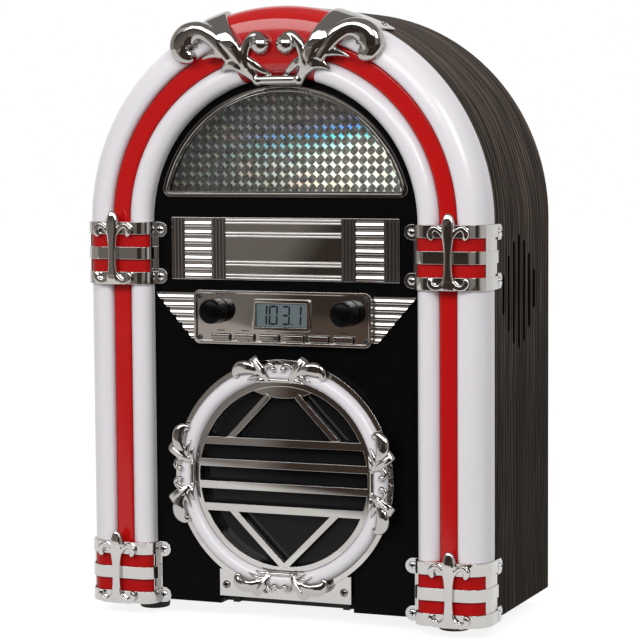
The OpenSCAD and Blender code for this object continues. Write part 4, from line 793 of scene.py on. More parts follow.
placed(joinPieces("crestTabs", [crestTab(-1), crestTab(1)], "tabChrome"), "cabinet")
pillarFoot, pillarTop = (c.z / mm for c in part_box("pillar_light_covers"))
clampHalf = clampMake["high"] / 2
clampLevels = {"upper": pillarTop + clampHalf, "lower": pillarFoot - clampHalf}
clamps = [("%s_%s_clamp" % (level, hand), side, z) for level, z in clampLevels.items()
          for hand, side in (("left", -1), ("right", 1))]
for node, side, z in clamps:
    piece = buildClamp(node, side, z)
    placed(piece, "cabinet", node)
    print(node, len(piece.data.polygons), "faces")


# turned pieces: a profile of (radius, out) about an axis that points to the front
def turned(name, profile, x, z, finish, steps=96, sharp=30):
    bm = bmesh.new()
    turns = [2 * math.pi * k / steps for k in range(steps)]
    rings = []
    for r, out in profile:
        y = frontY - out * mm
        if r > 0:
            rings.append([bm.verts.new((x + r * mm * math.cos(a), y, z + r * mm * math.sin(a))) for a in turns])
        else:
            rings.append([bm.verts.new((x, y, z))])
    for a, b in zip(rings, rings[1:]):
        for k in range(steps):
            j = (k + 1) % steps
            if len(a) == 1:
                bm.faces.new((a[0], b[k], b[j]))
            elif len(b) == 1:
                bm.faces.new((a[k], a[j], b[0]))
            else:
                bm.faces.new((a[k], a[j], b[j], b[k]))
    piece = pieceOf(bm, name, finish)
    shadeSmooth(piece, sharp)
    return piece


knob = {"radius": 7.9, "back": 5.0, "front": 17.5, "edge": 1.6, "dome": 0.9, "shaft": 3.0, "shaftBack": -10.0,
        "heelIn": 0.8, "heelUp": 0.5, "taper": 0.35, "crownAt": (5.2, 4.2, 3.0, 1.6, 0.6)}


def knobProfile():
    r, edge, back, front = knob["radius"], knob["edge"], knob["back"], knob["front"] - knob["dome"]
    shaft, deep, slim = knob["shaft"], knob["shaftBack"], knob["radius"] - knob["taper"]
    side = [(0, deep), (shaft, deep), (shaft, back), (r - knob["heelIn"], back), (r, back + knob["heelUp"]),
            (slim, front - edge)]
    bend = arcPoints(slim - edge, front - edge, edge, 0, 80, 8)
    crown = [(k, front + knob["dome"] * (1 - (k / (r - edge)) ** 2)) for k in knob["crownAt"]]
    return side + bend + crown + [(0, knob["front"])]


for node in ("volume_knob", "selector_knob"):
    low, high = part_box(node)
    piece = turned(node + "_turned", knobProfile(), (low.x + high.x) / 2, (low.z + high.z) / 2, "knobBlack")
    placed(piece, node, node)
print("knobs turned")


# Geometry Nodes helpers: named inputs, then a plain mesh
def growTree(name, inputs):
    tree = bpy.data.node_groups.new(name, "GeometryNodeTree")
    face = tree.interface
    face.new_socket("Geometry", in_out="INPUT", socket_type="NodeSocketGeometry")
    for label, kind in inputs.items():
        face.new_socket(label, in_out="INPUT", socket_type="NodeSocket" + kind)
    face.new_socket("Finish", in_out="INPUT", socket_type="NodeSocketMaterial")
    face.new_socket("Geometry", in_out="OUTPUT", socket_type="NodeSocketGeometry")
    return tree, tree.nodes.new("NodeGroupInput")


def join(tree, kind, wires, **settings):
    node = addNode(tree, kind, **settings)
    for key, source in wires.items():
        tree.links.new(source, node.inputs[key])
    return node


def closeTree(tree, given, geometry, spared=None):
    real = join(tree, "GeometryNodeRealizeInstances", {0: geometry})
    painted = join(tree, "GeometryNodeSetMaterial",
                   {"Geometry": real.outputs[0], "Material": given.outputs["Finish"]})
    if spared:     # faces that keep the finish they have
        chosen = addNode(tree, "GeometryNodeMaterialSelection", Material=finishes[spared])
        tree.links.new(maths(tree, "SUBTRACT", 1.0, chosen.outputs[0]), painted.inputs["Selection"])
    tree.links.new(painted.outputs[0], tree.nodes.new("NodeGroupOutput").inputs[0])


def grow(name, tree, finish, start=None, **values):
    piece = linked(name, start or bpy.data.meshes.new(name))
    modifier = piece.modifiers.new("grow", "NODES")
    modifier.node_group = tree
    keys = {item.name: item.identifier for item in tree.interface.items_tree if item.in_out == "INPUT"}
    modifier[keys["Finish"]] = finishes[finish]
    for label, value in values.items():
        modifier[keys[label]] = value
    bakeModifiers(piece)
    bm = bmesh.new()
    bm.from_mesh(piece.data)
    bmesh.ops.remove_doubles(bm, verts=bm.verts, dist=1e-7)
    bmesh.ops.recalc_face_normals(bm, faces=bm.faces)
    bm.to_mesh(piece.data)
    bm.free()
    shadeSmooth(piece)
    return piece


def flipAcross(piece):
    bm = bmesh.new()
    bm.from_mesh(piece.data)
    for v in bm.verts:
        v.co.x = -v.co.x
    bmesh.ops.recalc_face_normals(bm, faces=bm.faces)
    bm.to_mesh(piece.data)
    bm.free()
    return piece


# a lit tube or a stripe: a section with two rounded shoulders carried round the arch or up a pillar
def tubeTree():
    sizes = ("From", "Sweep", "Foot", "Top", "Inner", "Outer", "Back", "Front", "InnerRound", "OuterRound")
    tree, given = growTree("tubeRun", {"Straight": "Bool", **dict.fromkeys(sizes, "Float")})
    own = given.outputs
    arc = join(tree, "GeometryNodeCurveArc",
               {"Radius": own["Inner"], "Start Angle": own["From"], "Sweep Angle": own["Sweep"]}, Resolution=120)
    arch = join(tree, "GeometryNodeTransform", {"Geometry": arc.outputs[0]},
                Rotation=(math.pi / 2, 0, 0), Translation=(0, frontY, archZ))
    ends = []
    for level in ("Foot", "Top"):
        ends.append(join(tree, "ShaderNodeCombineXYZ", {"X": own["Inner"], "Z": own[level]}, Y=frontY))
    line = join(tree, "GeometryNodeCurvePrimitiveLine", {"Start": ends[0].outputs[0], "End": ends[1].outputs[0]})
    path = join(tree, "GeometryNodeSwitch",
                {"Switch": own["Straight"], "False": arch.outputs[0], "True": line.outputs[0]}, input_type="GEOMETRY")
    wide = maths(tree, "SUBTRACT", own["Outer"], own["Inner"])
    rise = maths(tree, "MULTIPLY", own["Front"], -1.0)
    corners = {}
    for i, (x, y) in enumerate(((0.0, own["Back"]), (wide, own["Back"]), (wide, rise), (0.0, rise))):
        point = addNode(tree, "ShaderNodeCombineXYZ")
        if x:
            tree.links.new(x, point.inputs["X"])
        tree.links.new(y, point.inputs["Y"])
        corners["Point %d" % (i + 1)] = point.outputs[0]
    section = join(tree, "GeometryNodeCurvePrimitiveQuadrilateral", corners, mode="POINTS")
    index = addNode(tree, "GeometryNodeInputIndex").outputs[0]
    round2 = maths(tree, "MULTIPLY", maths(tree, "COMPARE", index, 2), own["OuterRound"])
    round3 = maths(tree, "MULTIPLY", maths(tree, "COMPARE", index, 3), own["InnerRound"])
    rounding = maths(tree, "ADD", round2, round3)
    shoulders = join(tree, "GeometryNodeFilletCurve", {"Curve": section.outputs[0], "Radius": rounding},
                     mode="POLY", Count=12)
    # an arc carries its section a quarter turn round from where a straight run does
    quarter = maths(tree, "MULTIPLY", maths(tree, "SUBTRACT", own["Straight"], 1.0), math.pi / 2)
    spin = join(tree, "ShaderNodeCombineXYZ", {"Z": quarter})
    laid = join(tree, "GeometryNodeTransform", {"Geometry": shoulders.outputs[0], "Rotation": spin.outputs[0]})
    sweep = join(tree, "GeometryNodeCurveToMesh", {"Curve": path.outputs[0], "Profile Curve": laid.outputs[0]})
    sweep.inputs["Fill Caps"].default_value = True
    closeTree(tree, given, sweep.outputs[0])
    return tree


# sections in mm: inner, outer, back, front, shoulder radii
tubes = {"innerTube": (88.5, 102.4, 0.0, 10.0, 6.6, 6.6), "outerTube": (114.4, 132.0, 10.0, 10.0, 3.5, 13.0),
         "stripe": (102.6, 114.2, -2.0, 6.0, 1.6, 1.6), "crown": (88.5, 132.0, 10.0, 9.6, 9.0, 9.0),
         "sleeve": (88.5, 132.0, 10.0, 10.4, 6.5, 13.0), "crownAngle": 15.4, "crownSwell": 4.6}
tubeRun = tubeTree()


def tube(name, finish, section, turn=None, level=None, mirrored=False):
    inner, outer, back, front, r0, r1 = (v * mm for v in tubes[section])
    turn, level = turn or (0, 0), level or (0, 0)
    start, sweep = math.radians(turn[0]), math.radians(turn[1] - turn[0])
    piece = grow(name, tubeRun, finish, Straight=turn == (0, 0), From=start, Sweep=sweep,
                 Foot=level[0] * mm, Top=level[1] * mm, Inner=inner, Outer=outer, Back=back, Front=front,
                 InnerRound=r0, OuterRound=r1)
    return flipAcross(piece) if mirrored else piece


def archRuns(finish, *kinds):
    return [tube(kind, finish, kind, turn=turn) for kind in kinds for turn in arches]


def pillarRuns(finish, level, *kinds):
    return [tube(kind, finish, kind, level=level, mirrored=m) for kind in kinds for m in (False, True)]


edge = 90 - tubes["crownAngle"]
arches = [(0, edge), (180 - edge, 180)]
pillar = (pillarFoot, pillarTop)
white = archRuns("milk", "innerTube", "outerTube")
placed(joinPieces("archTubes", white, "milk"), "cabinet", "arch_light_cover")
white = pillarRuns("milk", pillar, "innerTube", "outerTube")
placed(joinPieces("pillarTubes", white, "milk"), "cabinet", "pillar_light_covers")
red = archRuns("red", "stripe") + pillarRuns("red", pillar, "stripe")
placed(joinPieces("redStripes", red, "red"), "cabinet", "red_stripes")
crown = tube("crown", "crownRed", "crown", turn=(edge, 180 - edge))
inner, outer = (r * mm for r in tubes["crown"][:2])
for v in crown.data.vertices:      # its front swells between the edges
    share = (math.hypot(v.co.x, v.co.z - archZ) - (outer + inner) / 2) / ((outer - inner) / 2)
    if v.co.y < frontY:
        v.co.y -= tubes["crownSwell"] * mm * max(0, 1 - share ** 2)
placed(crown, "cabinet", "red_crown")
red = []
for z in clampLevels.values():
    red += pillarRuns("sleeveRed", (z - clampHalf, z + clampHalf), "sleeve")
placed(joinPieces("redSleeves", red, "sleeveRed"), "cabinet", "red_sleeves")
print("tubes, stripes, crown and sleeves swept")


# cross-head screws on points that carry the way they face; the cross recess is coloured black as painted shade
def screwTree():
    tree, given = growTree("screwHeads", {"Radius": "Float", "Rise": "Float", "Slot": "Float"})
    own = given.outputs
    ball = join(tree, "GeometryNodeMeshUVSphere", {"Radius": own["Radius"]}, Segments=20, Rings=10)
    flat = join(tree, "ShaderNodeCombineXYZ", {"Z": maths(tree, "DIVIDE", own["Rise"], own["Radius"])}, X=1.0, Y=1.0)
    dome = join(tree, "GeometryNodeTransform", {"Geometry": ball.outputs[0], "Scale": flat.outputs[0]})
    long = maths(tree, "MULTIPLY", own["Radius"], screws["slotLong"])
    cut = addNode(tree, "GeometryNodeMeshBoolean", operation="DIFFERENCE")
    tree.links.new(dome.outputs[0], cut.inputs["Mesh 1"])
    lift = join(tree, "ShaderNodeCombineXYZ", {"Z": own["Rise"]})
    for x, y in ((long, own["Slot"]), (own["Slot"], long)):
        deep = maths(tree, "MULTIPLY", own["Rise"], screws["slotDeep"])
        size = join(tree, "ShaderNodeCombineXYZ", {"X": x, "Y": y, "Z": deep})
        bar = join(tree, "GeometryNodeMeshCube", {"Size": size.outputs[0]})
        moved = join(tree, "GeometryNodeTransform", {"Geometry": bar.outputs[0], "Translation": lift.outputs[0]})
        # painted shade: the walls of the cross recess take the black knob finish
        dark = join(tree, "GeometryNodeSetMaterial", {"Geometry": moved.outputs[0]}, Material=finishes["knobBlack"])
        tree.links.new(dark.outputs[0], cut.inputs["Mesh 2"])
    way = addNode(tree, "GeometryNodeInputNamedAttribute", data_type="FLOAT_VECTOR", Name="facing")
    turn = join(tree, "FunctionNodeAlignRotationToVector", {"Vector": way.outputs[0]}, axis="Z")
    heads = join(tree, "GeometryNodeInstanceOnPoints",
                 {"Points": own["Geometry"], "Instance": cut.outputs["Mesh"], "Rotation": turn.outputs[0]})
    closeTree(tree, given, heads.outputs[0], "knobBlack")
    return tree


def facingPoints(name, spots):
    mesh = bpy.data.meshes.new(name)
    mesh.from_pydata([spot for spot, way in spots], [], [])
    layer = mesh.attributes.new("facing", "FLOAT_VECTOR", "POINT")
    for i, (spot, way) in enumerate(spots):
        layer.data[i].vector = way
    return mesh


# sizes in mm; the places follow the boxes of the nodes that the screws hold
screws = {"trim": (2.7, 1.2, 0.8), "tuner": (1.7, 1.2, 0.5), "cover": (2.2, 1.2, 0.65), "door": (2.6, 1.3, 0.75),
          "slotLong": 1.25, "slotDeep": 1.6, "tunerIn": 3.9, "tunerSunk": 1.5}
screwHeads = screwTree()
front, rear = (0, -1, 0), (0, 1, 0)


def setScrews(kind, spots, body, *replaced, finish="steel"):
    radius, rise, slot = (v * mm for v in screws[kind])
    points = facingPoints(kind + "Spots", spots)
    piece = grow(kind + "Screws", screwHeads, finish, points, Radius=radius, Rise=rise, Slot=slot)
    placed(piece, body, *replaced)


trimSpots = []
m = clampMake
for node, side, zc in clamps:
    for s in (-1, 1):
        z = (zc + s * m["earZ"]) * mm
        trimSpots.append(((side * m["earX"] * mm, frontY - m["screwOut"] * mm, z), front))
        trimSpots.append(((side * (m["outer"] - m["screwSunk"]) * mm, frontY + m["screwBack"] * mm, z), (side, 0, 0)))
for side in (-1, 1):
    a = math.radians(tab["screwAt"])
    way = Vector((side * math.sin(a), 0, math.cos(a)))
    axis = Vector((0, frontY + tab["screwDepth"] * mm, archZ))
    trimSpots.append((axis + way * (tab["r"] + tab["thick"] - m["screwSunk"]) * mm, way))
setScrews("trim", trimSpots, "cabinet", "trim_screws")
low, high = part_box("tuner_faceplate")
inset = screws["tunerIn"] * mm
plateY = low.y + screws["tunerSunk"] * mm
tunerSpots = [((x, plateY, z), front) for x in (low.x + inset, high.x - inset)
              for z in (low.z + inset, high.z - inset)]
setScrews("tuner", tunerSpots, "cabinet", finish="darkSteel")
low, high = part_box("door_screws")
r = screws["door"][0] * mm
doorSpots = [((x, low.y + screws["door"][1] * mm, (low.z + high.z) / 2), front) for x in (low.x + r, high.x - r)]
setScrews("door", doorSpots, "disc_door", "door_screws", finish="rimDark")
low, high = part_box("rear_cover_screws")
r = high.x - screws["cover"][0] * mm
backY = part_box("rear_cover")[1].y
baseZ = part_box("cabinet_shell")[0].z
turns = [math.radians(a) for a in range(15, 180, 30)]
coverSpots = [((r * math.cos(a), backY, archZ + r * math.sin(a)), rear) for a in turns]
coverSpots += [((s * r, backY, baseZ + k * (archZ - baseZ)), rear) for s in (-1, 1) for k in (0.2, 0.75)]
setScrews("cover", coverSpots, "cabinet", "rear_cover_screws")
print("screws:", len(trimSpots) + len(tunerSpots) + len(doorSpots) + len(coverSpots))


# rounded ribs along loose edges
def ribTree():
    tree, given = growTree("ribRuns", {"Radius": "Float"})
    runs = join(tree, "GeometryNodeMeshToCurve", {0: given.outputs["Geometry"]})
    ring = join(tree, "GeometryNodeCurvePrimitiveCircle", {"Radius": given.outputs["Radius"]}, Resolution=20)
    ribs = join(tree, "GeometryNodeCurveToMesh", {"Curve": runs.outputs[0], "Profile Curve": ring.outputs[0]})
    ribs.inputs["Fill Caps"].default_value = True
    closeTree(tree, given, ribs.outputs[0])
    return tree


ribRuns = ribTree()


def ribs(name, finish, lines, radius, flat=1.0, lean=0.0):
    mesh = bpy.data.meshes.new(name)
    points = [Vector((x * mm, frontY - out * mm, z * mm)) for line in lines for x, out, z in line]
    mesh.from_pydata(points, [(i, i + 1) for i in range(0, len(points), 2)], [])
    piece = grow(name, ribRuns, finish, mesh, Radius=radius * mm)
    level = frontY - lines[0][0][1] * mm
    heights = sorted({line[0][2] for line in lines})
    for v in piece.data.vertices:
        rise = v.co.z - min(heights, key=lambda h: abs(h * mm - v.co.z)) * mm
        v.co.y = level + (v.co.y - level) * flat + rise * lean
    return piece


def slabPiece(name, outline, thick, bevel=0):
    bm = bmesh.new()
    extrudeOut(bm, outline, 0, thick)
    piece = pieceOf(bm, name)
    if bevel:
        softenEdges(piece, bevel * mm)
    else:
        shadeSmooth(piece, 28)
    return piece


def boxLine(x0, z0, x1, z1):
    return [(x0, z0), (x1, z0), (x1, z1), (x0, z1)]


title = {"thick": 1.4, "endWide": 9.2, "field": 19.0, "fine": 4, "broad": 7, "margin": 0.6, "soft": 0.3,
         "barRadius": 0.8, "barLevels": (0.06, 0.27, 0.73, 0.94), "barApart": 0.95, "barOut": 0.2,
         "broadRadius": 0.48, "fineRadius": 0.34, "ribFlat": 0.36, "ribLean": 0.3}


def buildTitle():
    t = title
    low, high = (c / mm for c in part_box("title_plate"))
    x1, z0, z1, out = high.x, low.z, high.z, t["thick"]
    fieldOut, fieldIn = x1 - t["endWide"], x1 - t["endWide"] - t["field"]
    middle = fieldIn - t["endWide"]
    pitch = t["endWide"] / t["fine"]
    tall = (z1 - z0 - 2 * t["margin"]) / t["broad"]
    fine, broad, bars = [], [], []
    for side in (-1, 1):
        for start in (fieldOut, middle):
            for k in range(t["fine"]):
                x = side * (start + (k + 0.5) * pitch)
                fine.append(((x, out, z0 + t["margin"]), (x, out, z1 - t["margin"])))
        for k in range(t["broad"]):
            z = z0 + t["margin"] + (k + 0.5) * tall
            broad.append(((side * (fieldIn + t["margin"]), out, z), (side * (fieldOut - t["margin"]), out, z)))
    for share in t["barLevels"]:
        for s in (-1, 1):
            z = z0 + share * (z1 - z0) + s * t["barApart"]
            bars.append(((-middle, out + t["barOut"], z), (middle, out + t["barOut"], z)))
    pieces = [slabPiece("titleSheet", boxLine(-x1, z0, x1, z1), out, t["soft"]),
              ribs("titleBroad", "chrome", broad, tall * t["broadRadius"], t["ribFlat"], t["ribLean"]),
              ribs("titleBars", "chrome", bars, t["barRadius"])]
    placed(joinPieces("titlePlate", pieces, "chrome"), "cabinet", "title_plate")
    placed(ribs("titleFine", "rimDark", fine, pitch * t["fineRadius"]), "cabinet")


buildTitle()
wing = {"ribs": 6, "rise": 2.5, "drop": 1.9, "thick": 1.4, "slant": 0.75, "ribRadius": 0.47, "ribFlat": 0.36,
        "ribLean": 0.3, "tipIn": 4.2, "sheetIn": 0.2, "sheetTip": 2.5, "sheetFoot": 0.5}


def buildWings():
    plateLow, plateHigh = (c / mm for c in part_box("tuner_faceplate"))
    for node, side in (("left_wing", -1), ("right_wing", 1)):
        low, high = (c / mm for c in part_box(node))
        root, tip = sorted((abs(low.x), abs(high.x)))
        top = plateHigh.z - wing["drop"]
        pitch = (top - plateLow.z - wing["rise"]) / wing["ribs"]
        r = pitch * wing["ribRadius"]
        step = (tip - root - wing["tipIn"]) / (wing["ribs"] - 0.5)
        lines = []
        for k in range(wing["ribs"]):
            z = top - (k + 0.5) * pitch
            lines.append(((root, wing["thick"], z), (tip - wing["slant"] * r - k * step, wing["thick"], z)))
        piece = ribs(node + "_ribs", "chrome", lines, r, wing["ribFlat"], wing["ribLean"])
        for v in piece.data.vertices:      # slanted tips
            x, z = v.co.x / mm, v.co.z / mm
            if x > root + 1:
                k = min(range(wing["ribs"]), key=lambda i: abs(top - (i + 0.5) * pitch - z))
                v.co.x += wing["slant"] * (z - (top - (k + 0.5) * pitch)) * mm
        upper, lower = top - wing["sheetIn"], top - wing["ribs"] * pitch + wing["sheetIn"]
        foot = tip + wing["sheetFoot"] - wing["ribs"] * step
        backing = [(root, upper), (tip - wing["sheetTip"], upper), (foot, lower), (root, lower)]
        sheet = slabPiece(node + "_sheet", backing, wing["thick"])
        both = joinPieces(node + "_made", [piece, sheet], "chrome")
        if side < 0:
            flipAcross(both)
        shadeSmooth(both)
        placed(both, "cabinet", node)


buildWings()
print("title plate and wings ribbed")

# ridged rim of the half-round window: steps of [inset, out], in mm
rim = {"corner": 5.0, "leastCorner": 0.3, "archSteps": 80,
       "steps": [[0, 0], [0, 1.4], [0.35, 1.9], [0.75, 1.9], [1.05, 1.3], [1.35, 0.5], [1.75, 0.5], [2.0, 1.6],
                 [2.3, 2.3], [2.75, 2.5], [3.15, 2.1], [3.4, 1.5], [3.7, 1.5], [3.85, 1.9], [4.0, 1.6], [4.05, 0.0]]}


def windowLine(inset):
    r = rimR - inset
    c = max(rim["corner"] - inset, rim["leastCorner"])
    # corner circle that touches the sill and the arch from inside
    cz = rimSill + inset - archZ / mm + c
    cx = math.sqrt((r - c) ** 2 - cz ** 2)
    a0 = math.degrees(math.atan2(cz, cx))
    arch = arcPoints(0, 0, r, a0, 180 - a0, rim["archSteps"])
    leftBend = arcPoints(-cx, cz, c, 180 - a0, 270, 8)
    rightBend = arcPoints(cx, cz, c, 270, 360 + a0, 8)
    return [(x, z + archZ / mm) for x, z in arch + leftBend[1:] + rightBend[:-1]]


low, high = (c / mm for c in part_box("window_bezel"))
rimR, rimSill = high.z - archZ / mm, low.z


def buildRim():
    bm = bmesh.new()
    loops = []
    for inset, out in rim["steps"]:
        loops.append([bm.verts.new((x * mm, frontY - out * mm, z * mm)) for x, z in windowLine(inset)])
    skin(bm, loops + loops[:1], caps=False)
    piece = pieceOf(bm, "windowRim", "castChrome")
    shadeSmooth(piece, 28)
    placed(piece, "cabinet", "window_bezel")


buildRim()

# dark seven-segment figures on the display
lcd = {"text": "103.1", "high": 12.0, "wide": 6.0, "bar": 1.15, "slant": 0.05, "gap": 0.16, "cut": 0.4,
       "sunk": 0.05, "proud": 0.06, "places": (-12.4, -5.4, 2.7, 7.1, 10.4)}
segmentsOf = {"0": "abcdef", "1": "bc", "3": "abgcd"}


def buildFigures():
    low, high = (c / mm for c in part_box("lcd_module"))
    zc = (low.z + high.z) / 2
    out = -low.y + frontY / mm
    h, w, b, g = lcd["high"] / 2, lcd["wide"] / 2, lcd["bar"], lcd["gap"]
    bars = {"a": (-w + b, h - b, w - b, h), "g": (-w + b, -b / 2, w - b, b / 2), "d": (-w + b, -h, w - b, -h + b),
            "f": (-w, g, -w + b, h - g), "b": (w - b, g, w, h - g), "e": (-w, -h + g, -w + b, -g),
            "c": (w - b, -h + g, w, -g)}
    bm = bmesh.new()
    cut = b * lcd["cut"]
    for figure, x in zip(lcd["text"], lcd["places"]):
        for part in segmentsOf.get(figure, "."):
            x0, z0, x1, z1 = bars.get(part, (-b / 2, -h, b / 2, -h + b))
            xm, zm = (x0 + x1) / 2, (z0 + z1) / 2
            if x1 - x0 > z1 - z0:
                shape = [(x0, zm), (x0 + cut, z0), (x1 - cut, z0), (x1, zm), (x1 - cut, z1), (x0 + cut, z1)]
            else:
                shape = [(xm, z0), (x1, z0 + cut), (x1, z1 - cut), (xm, z1), (x0, z1 - cut), (x0, z0 + cut)]
            leaned = [(x + px + lcd["slant"] * pz, zc + pz) for px, pz in shape]
            extrudeOut(bm, leaned, out - lcd["sunk"], out + lcd["proud"])
    placed(pieceOf(bm, "lcdFigures", "lcdDark"), "cabinet")


buildFigures()


# printed dots round a knob
def dotTree():
    sizes = ("Radius", "From", "Sweep", "Dot", "Thick")
    tree, given = growTree("dotRing", {"Count": "Int", **dict.fromkeys(sizes, "Float"), "Centre": "Vector"})
    own = given.outputs
    arc = join(tree, "GeometryNodeCurveArc",
               {"Radius": own["Radius"], "Start Angle": own["From"], "Sweep Angle": own["Sweep"]}, Resolution=64)
    spots = join(tree, "GeometryNodeCurveToPoints", {"Curve": arc.outputs[0], "Count": own["Count"]}, mode="COUNT")
    dot = join(tree, "GeometryNodeMeshCylinder", {"Radius": own["Dot"], "Depth": own["Thick"]}, Vertices=14)
    dots = join(tree, "GeometryNodeInstanceOnPoints", {"Points": spots.outputs[0], "Instance": dot.outputs[0]})
    upright = join(tree, "GeometryNodeTransform", {"Geometry": dots.outputs[0], "Translation": own["Centre"]},
                   Rotation=(math.pi / 2, 0, 0))
    closeTree(tree, given, upright.outputs[0])
    return tree


dotRing = dotTree()
marks = {"selector": (4, 10.6, 150, 60, 0.62), "volume": (7, 10.4, 20, 140, 0.42), "thick": 0.1,
         "dashAbove": 1.3, "dashHalf": 2.4, "dashRadius": 0.3, "dashFlat": 0.3}
for key in ("selector", "volume"):
    low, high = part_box(key + "_knob")
    count, radius, start, sweep, dot = marks[key]
    piece = grow(key + "Marks", dotRing, "mattBlack", Count=count, Radius=radius * mm, From=math.radians(start),
                 Sweep=math.radians(sweep), Dot=dot * mm, Thick=marks["thick"] * mm,
                 Centre=((low.x + high.x) / 2, plateY, (low.z + high.z) / 2))
    placed(piece, "cabinet")
plateOut = (frontY - plateY) / mm
dashes = []
for button in buttons:
    low, high = (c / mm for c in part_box(button))
    x, z = (low.x + high.x) / 2, high.z + marks["dashAbove"]
    dashes.append(((x - marks["dashHalf"], plateOut, z), (x + marks["dashHalf"], plateOut, z)))
placed(ribs("buttonDashes", "mattBlack", dashes, marks["dashRadius"], marks["dashFlat"]), "cabinet")
print("rim, figures and marks made")

stage = {"floorSize": 12.0, "floor": (0.3, 0.3, 0.3), "glow": 0.87, "ambient": 0.43,
         "lamps": [("keyBox", (-0.35, -1.65, 1.02), 1.6, 0.62, 18), ("sideBox", (1.3, -1.6, 1.2), 0.8, 0.8, 16),
                   ("topBox", (0.0, 0.1, 2.0), 1.2, 0.8, 9)],
         "aim": (0, 0, 0.2), "unseen": "topBox", "cardY": -2.2, "cardNear": -0.3, "cardTop": 1.3, "cardLeft": -2.8,
         "cardRight": 2.4, "cardBack": 0.5, "cardFloor": 0.001, "ceilingZ": 2.6, "ceilingHalf": 3, "ceilingBack": 1.5,
         "ceiling": (0.3, 0.28, 0.26), "leftWall": (0.46, 0.43, 0.405)}


# what only the chrome sees: the dim room beyond the table, paler at its lower left and to the sides
def dimCard(name, points, colourOf):
    card = newPiece(name, points, [tuple(range(len(points)))], "milk")
    material, tree, body = shaderTree(name)
    tree.nodes.remove(body)
    glow = addNode(tree, "ShaderNodeEmission")
    tree.links.new(glow.outputs[0], tree.nodes["Material Output"].inputs[0])
    colourOf(tree, glow)
    card.data.materials[0] = material
    card.visible_camera = card.visible_diffuse = card.visible_shadow = card.visible_transmission = False


def wallColour(tree, glow):
    x, _, z = objectAxes(tree)
    rise = rangeOf(tree, maths(tree, "MULTIPLY", z, 1.25), 0, 1)
    left = ramp(tree, rise, [(0.3, (0.235, 0.21, 0.19)), (1.0, (0.09, 0.08, 0.072))])
    middle = ramp(tree, rise, [(0.07, (0.06, 0.045, 0.036)), (0.2, (0.05, 0.04, 0.034)), (1.0, (0.08, 0.07, 0.062))])
    line = maths(tree, "ADD", x, maths(tree, "MULTIPLY", z, -0.6))
    along = ramp(tree, maths(tree, "MULTIPLY", maths(tree, "ADD", line, 0.988), 14.7), greys((0.0, 0), (1.0, 1)))
    right = ramp(tree, maths(tree, "ADD", x, -0.5), greys((0.0, 0), (0.4, 1)))
    near = blend(tree, "MIX", along, left, middle)
    tree.links.new(blend(tree, "MIX", right, near, (0.34, 0.31, 0.29)), glow.inputs[0])


# the far part of the table: paler to the left, with a soft step
def tableColour(tree, glow):
    x, y, _ = objectAxes(tree)
    line = maths(tree, "ADD", x, maths(tree, "MULTIPLY", y, -0.42))
    far = ramp(tree, maths(tree, "ADD", maths(tree, "MULTIPLY", line, 6.0), 0.35),
               [(0.3, (0.3, 0.27, 0.25)), (0.42, (0.16, 0.135, 0.115)), (0.5, (0.07, 0.05, 0.04))])
    edge = ramp(tree, maths(tree, "ADD", y, 2.2), greys((0.4, 1.95), (0.6, 1)))
    far = blend(tree, "MULTIPLY", 1.0, far, edge)
    slant = maths(tree, "ADD", y, maths(tree, "MULTIPLY", x, -0.8))
    close = ramp(tree, maths(tree, "ADD", slant, 0.892), greys((0.46, 0), (0.54, 1)))
    tree.links.new(blend(tree, "MIX", close, far, (1.06, 1.04, 1.02)), glow.inputs[0])


# the side wall is dark near the front and pale further back
def sideColour(tree, glow):
    back = maths(tree, "ADD", objectAxes(tree)[1], 1.5)
    tree.links.new(ramp(tree, back, [(0.2, (0.05, 0.045, 0.04)), (0.85, (0.72, 0.7, 0.68))]), glow.inputs[0])


def plainColour(colour):
    def paint(tree, glow):
        glow.inputs[0].default_value = (*colour, 1)
    return paint


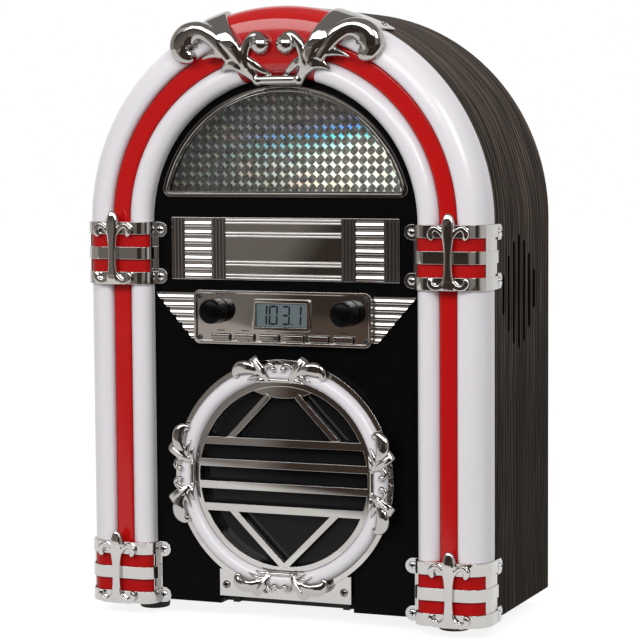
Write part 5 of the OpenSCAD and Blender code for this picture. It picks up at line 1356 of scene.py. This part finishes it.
def buildStage():
    scene = bpy.context.scene
    scene.view_settings.view_transform = "Standard"
    world = bpy.data.worlds.new("studio")
    scene.world = world
    world.use_nodes = True
    tree = world.node_tree
    tree.nodes.clear()
    out = addNode(tree, "ShaderNodeOutputWorld")
    white = addNode(tree, "ShaderNodeBackground", Color=(1, 1, 1, 1), Strength=1.0)
    dim = addNode(tree, "ShaderNodeBackground", Color=(1, 1, 1, 1), Strength=stage["ambient"])
    mix = addNode(tree, "ShaderNodeMixShader")
    tree.links.new(seenDirectly(tree), mix.inputs[0])
    tree.links.new(dim.outputs[0], mix.inputs[1])
    tree.links.new(white.outputs[0], mix.inputs[2])
    tree.links.new(mix.outputs[0], out.inputs[0])

    half = stage["floorSize"] / 2
    corners = [(-half, -half, 0), (half, -half, 0), (half, half, 0), (-half, half, 0)]
    floor = newPiece("floor", corners, [(0, 1, 2, 3)], "milk")
    material, ftree, body = shaderTree("paleFloor")
    body.inputs["Base Color"].default_value = (*stage["floor"], 1)
    body.inputs["Roughness"].default_value = 0.9
    body.inputs["Specular IOR Level"].default_value = 0.0
    body.inputs["Emission Color"].default_value = (1, 1, 1, 1)
    ftree.links.new(maths(ftree, "MULTIPLY", seenDirectly(ftree), stage["glow"]), body.inputs["Emission Strength"])
    floor.data.materials[0] = material

    for name, place, wide, tall, watts in stage["lamps"]:
        data = bpy.data.lights.new(name, "AREA")
        data.shape = "RECTANGLE"
        data.size, data.size_y = wide, tall
        data.energy = watts
        lamp = bpy.data.objects.new(name, data)
        lamp.location = place
        lamp.rotation_euler = (Vector(stage["aim"]) - Vector(place)).to_track_quat("-Z", "Y").to_euler()
        lamp.visible_glossy = name != stage["unseen"]
        scene.collection.objects.link(lamp)

    y, x0, x1, near = (stage[k] for k in ("cardY", "cardLeft", "cardRight", "cardNear"))
    top, low, back, z = (stage[k] for k in ("cardTop", "cardFloor", "cardBack", "ceilingZ"))
    half, rear = stage["ceilingHalf"], stage["ceilingBack"]
    dimCard("frontWall", [(x0, y, 0), (x1, y, 0), (x1, y, top), (x0, y, top)], wallColour)
    dimCard("frontFloor", [(x0, y, low), (x0, near, low), (x1, near, low), (x1, y, low)], tableColour)
    ceiling = [(-half, -half, z), (half, -half, z), (half, rear, z), (-half, rear, z)]
    dimCard("ceiling", ceiling, plainColour(stage["ceiling"]))
    dimCard("leftWall", [(x0, y, 0), (x0, back, 0), (x0, back, z), (x0, y, z)], plainColour(stage["leftWall"]))
    dimCard("rightWall", [(x1, y, 0), (x1, back, 0), (x1, back, z), (x1, y, z)], sideColour)


def seenDirectly(tree):
    path = addNode(tree, "ShaderNodeLightPath")
    seen = maths(tree, "MAXIMUM", path.outputs["Is Camera Ray"], path.outputs["Is Glossy Ray"])
    return maths(tree, "MAXIMUM", seen, path.outputs["Is Transmission Ray"])


buildStage()
print("stage built")
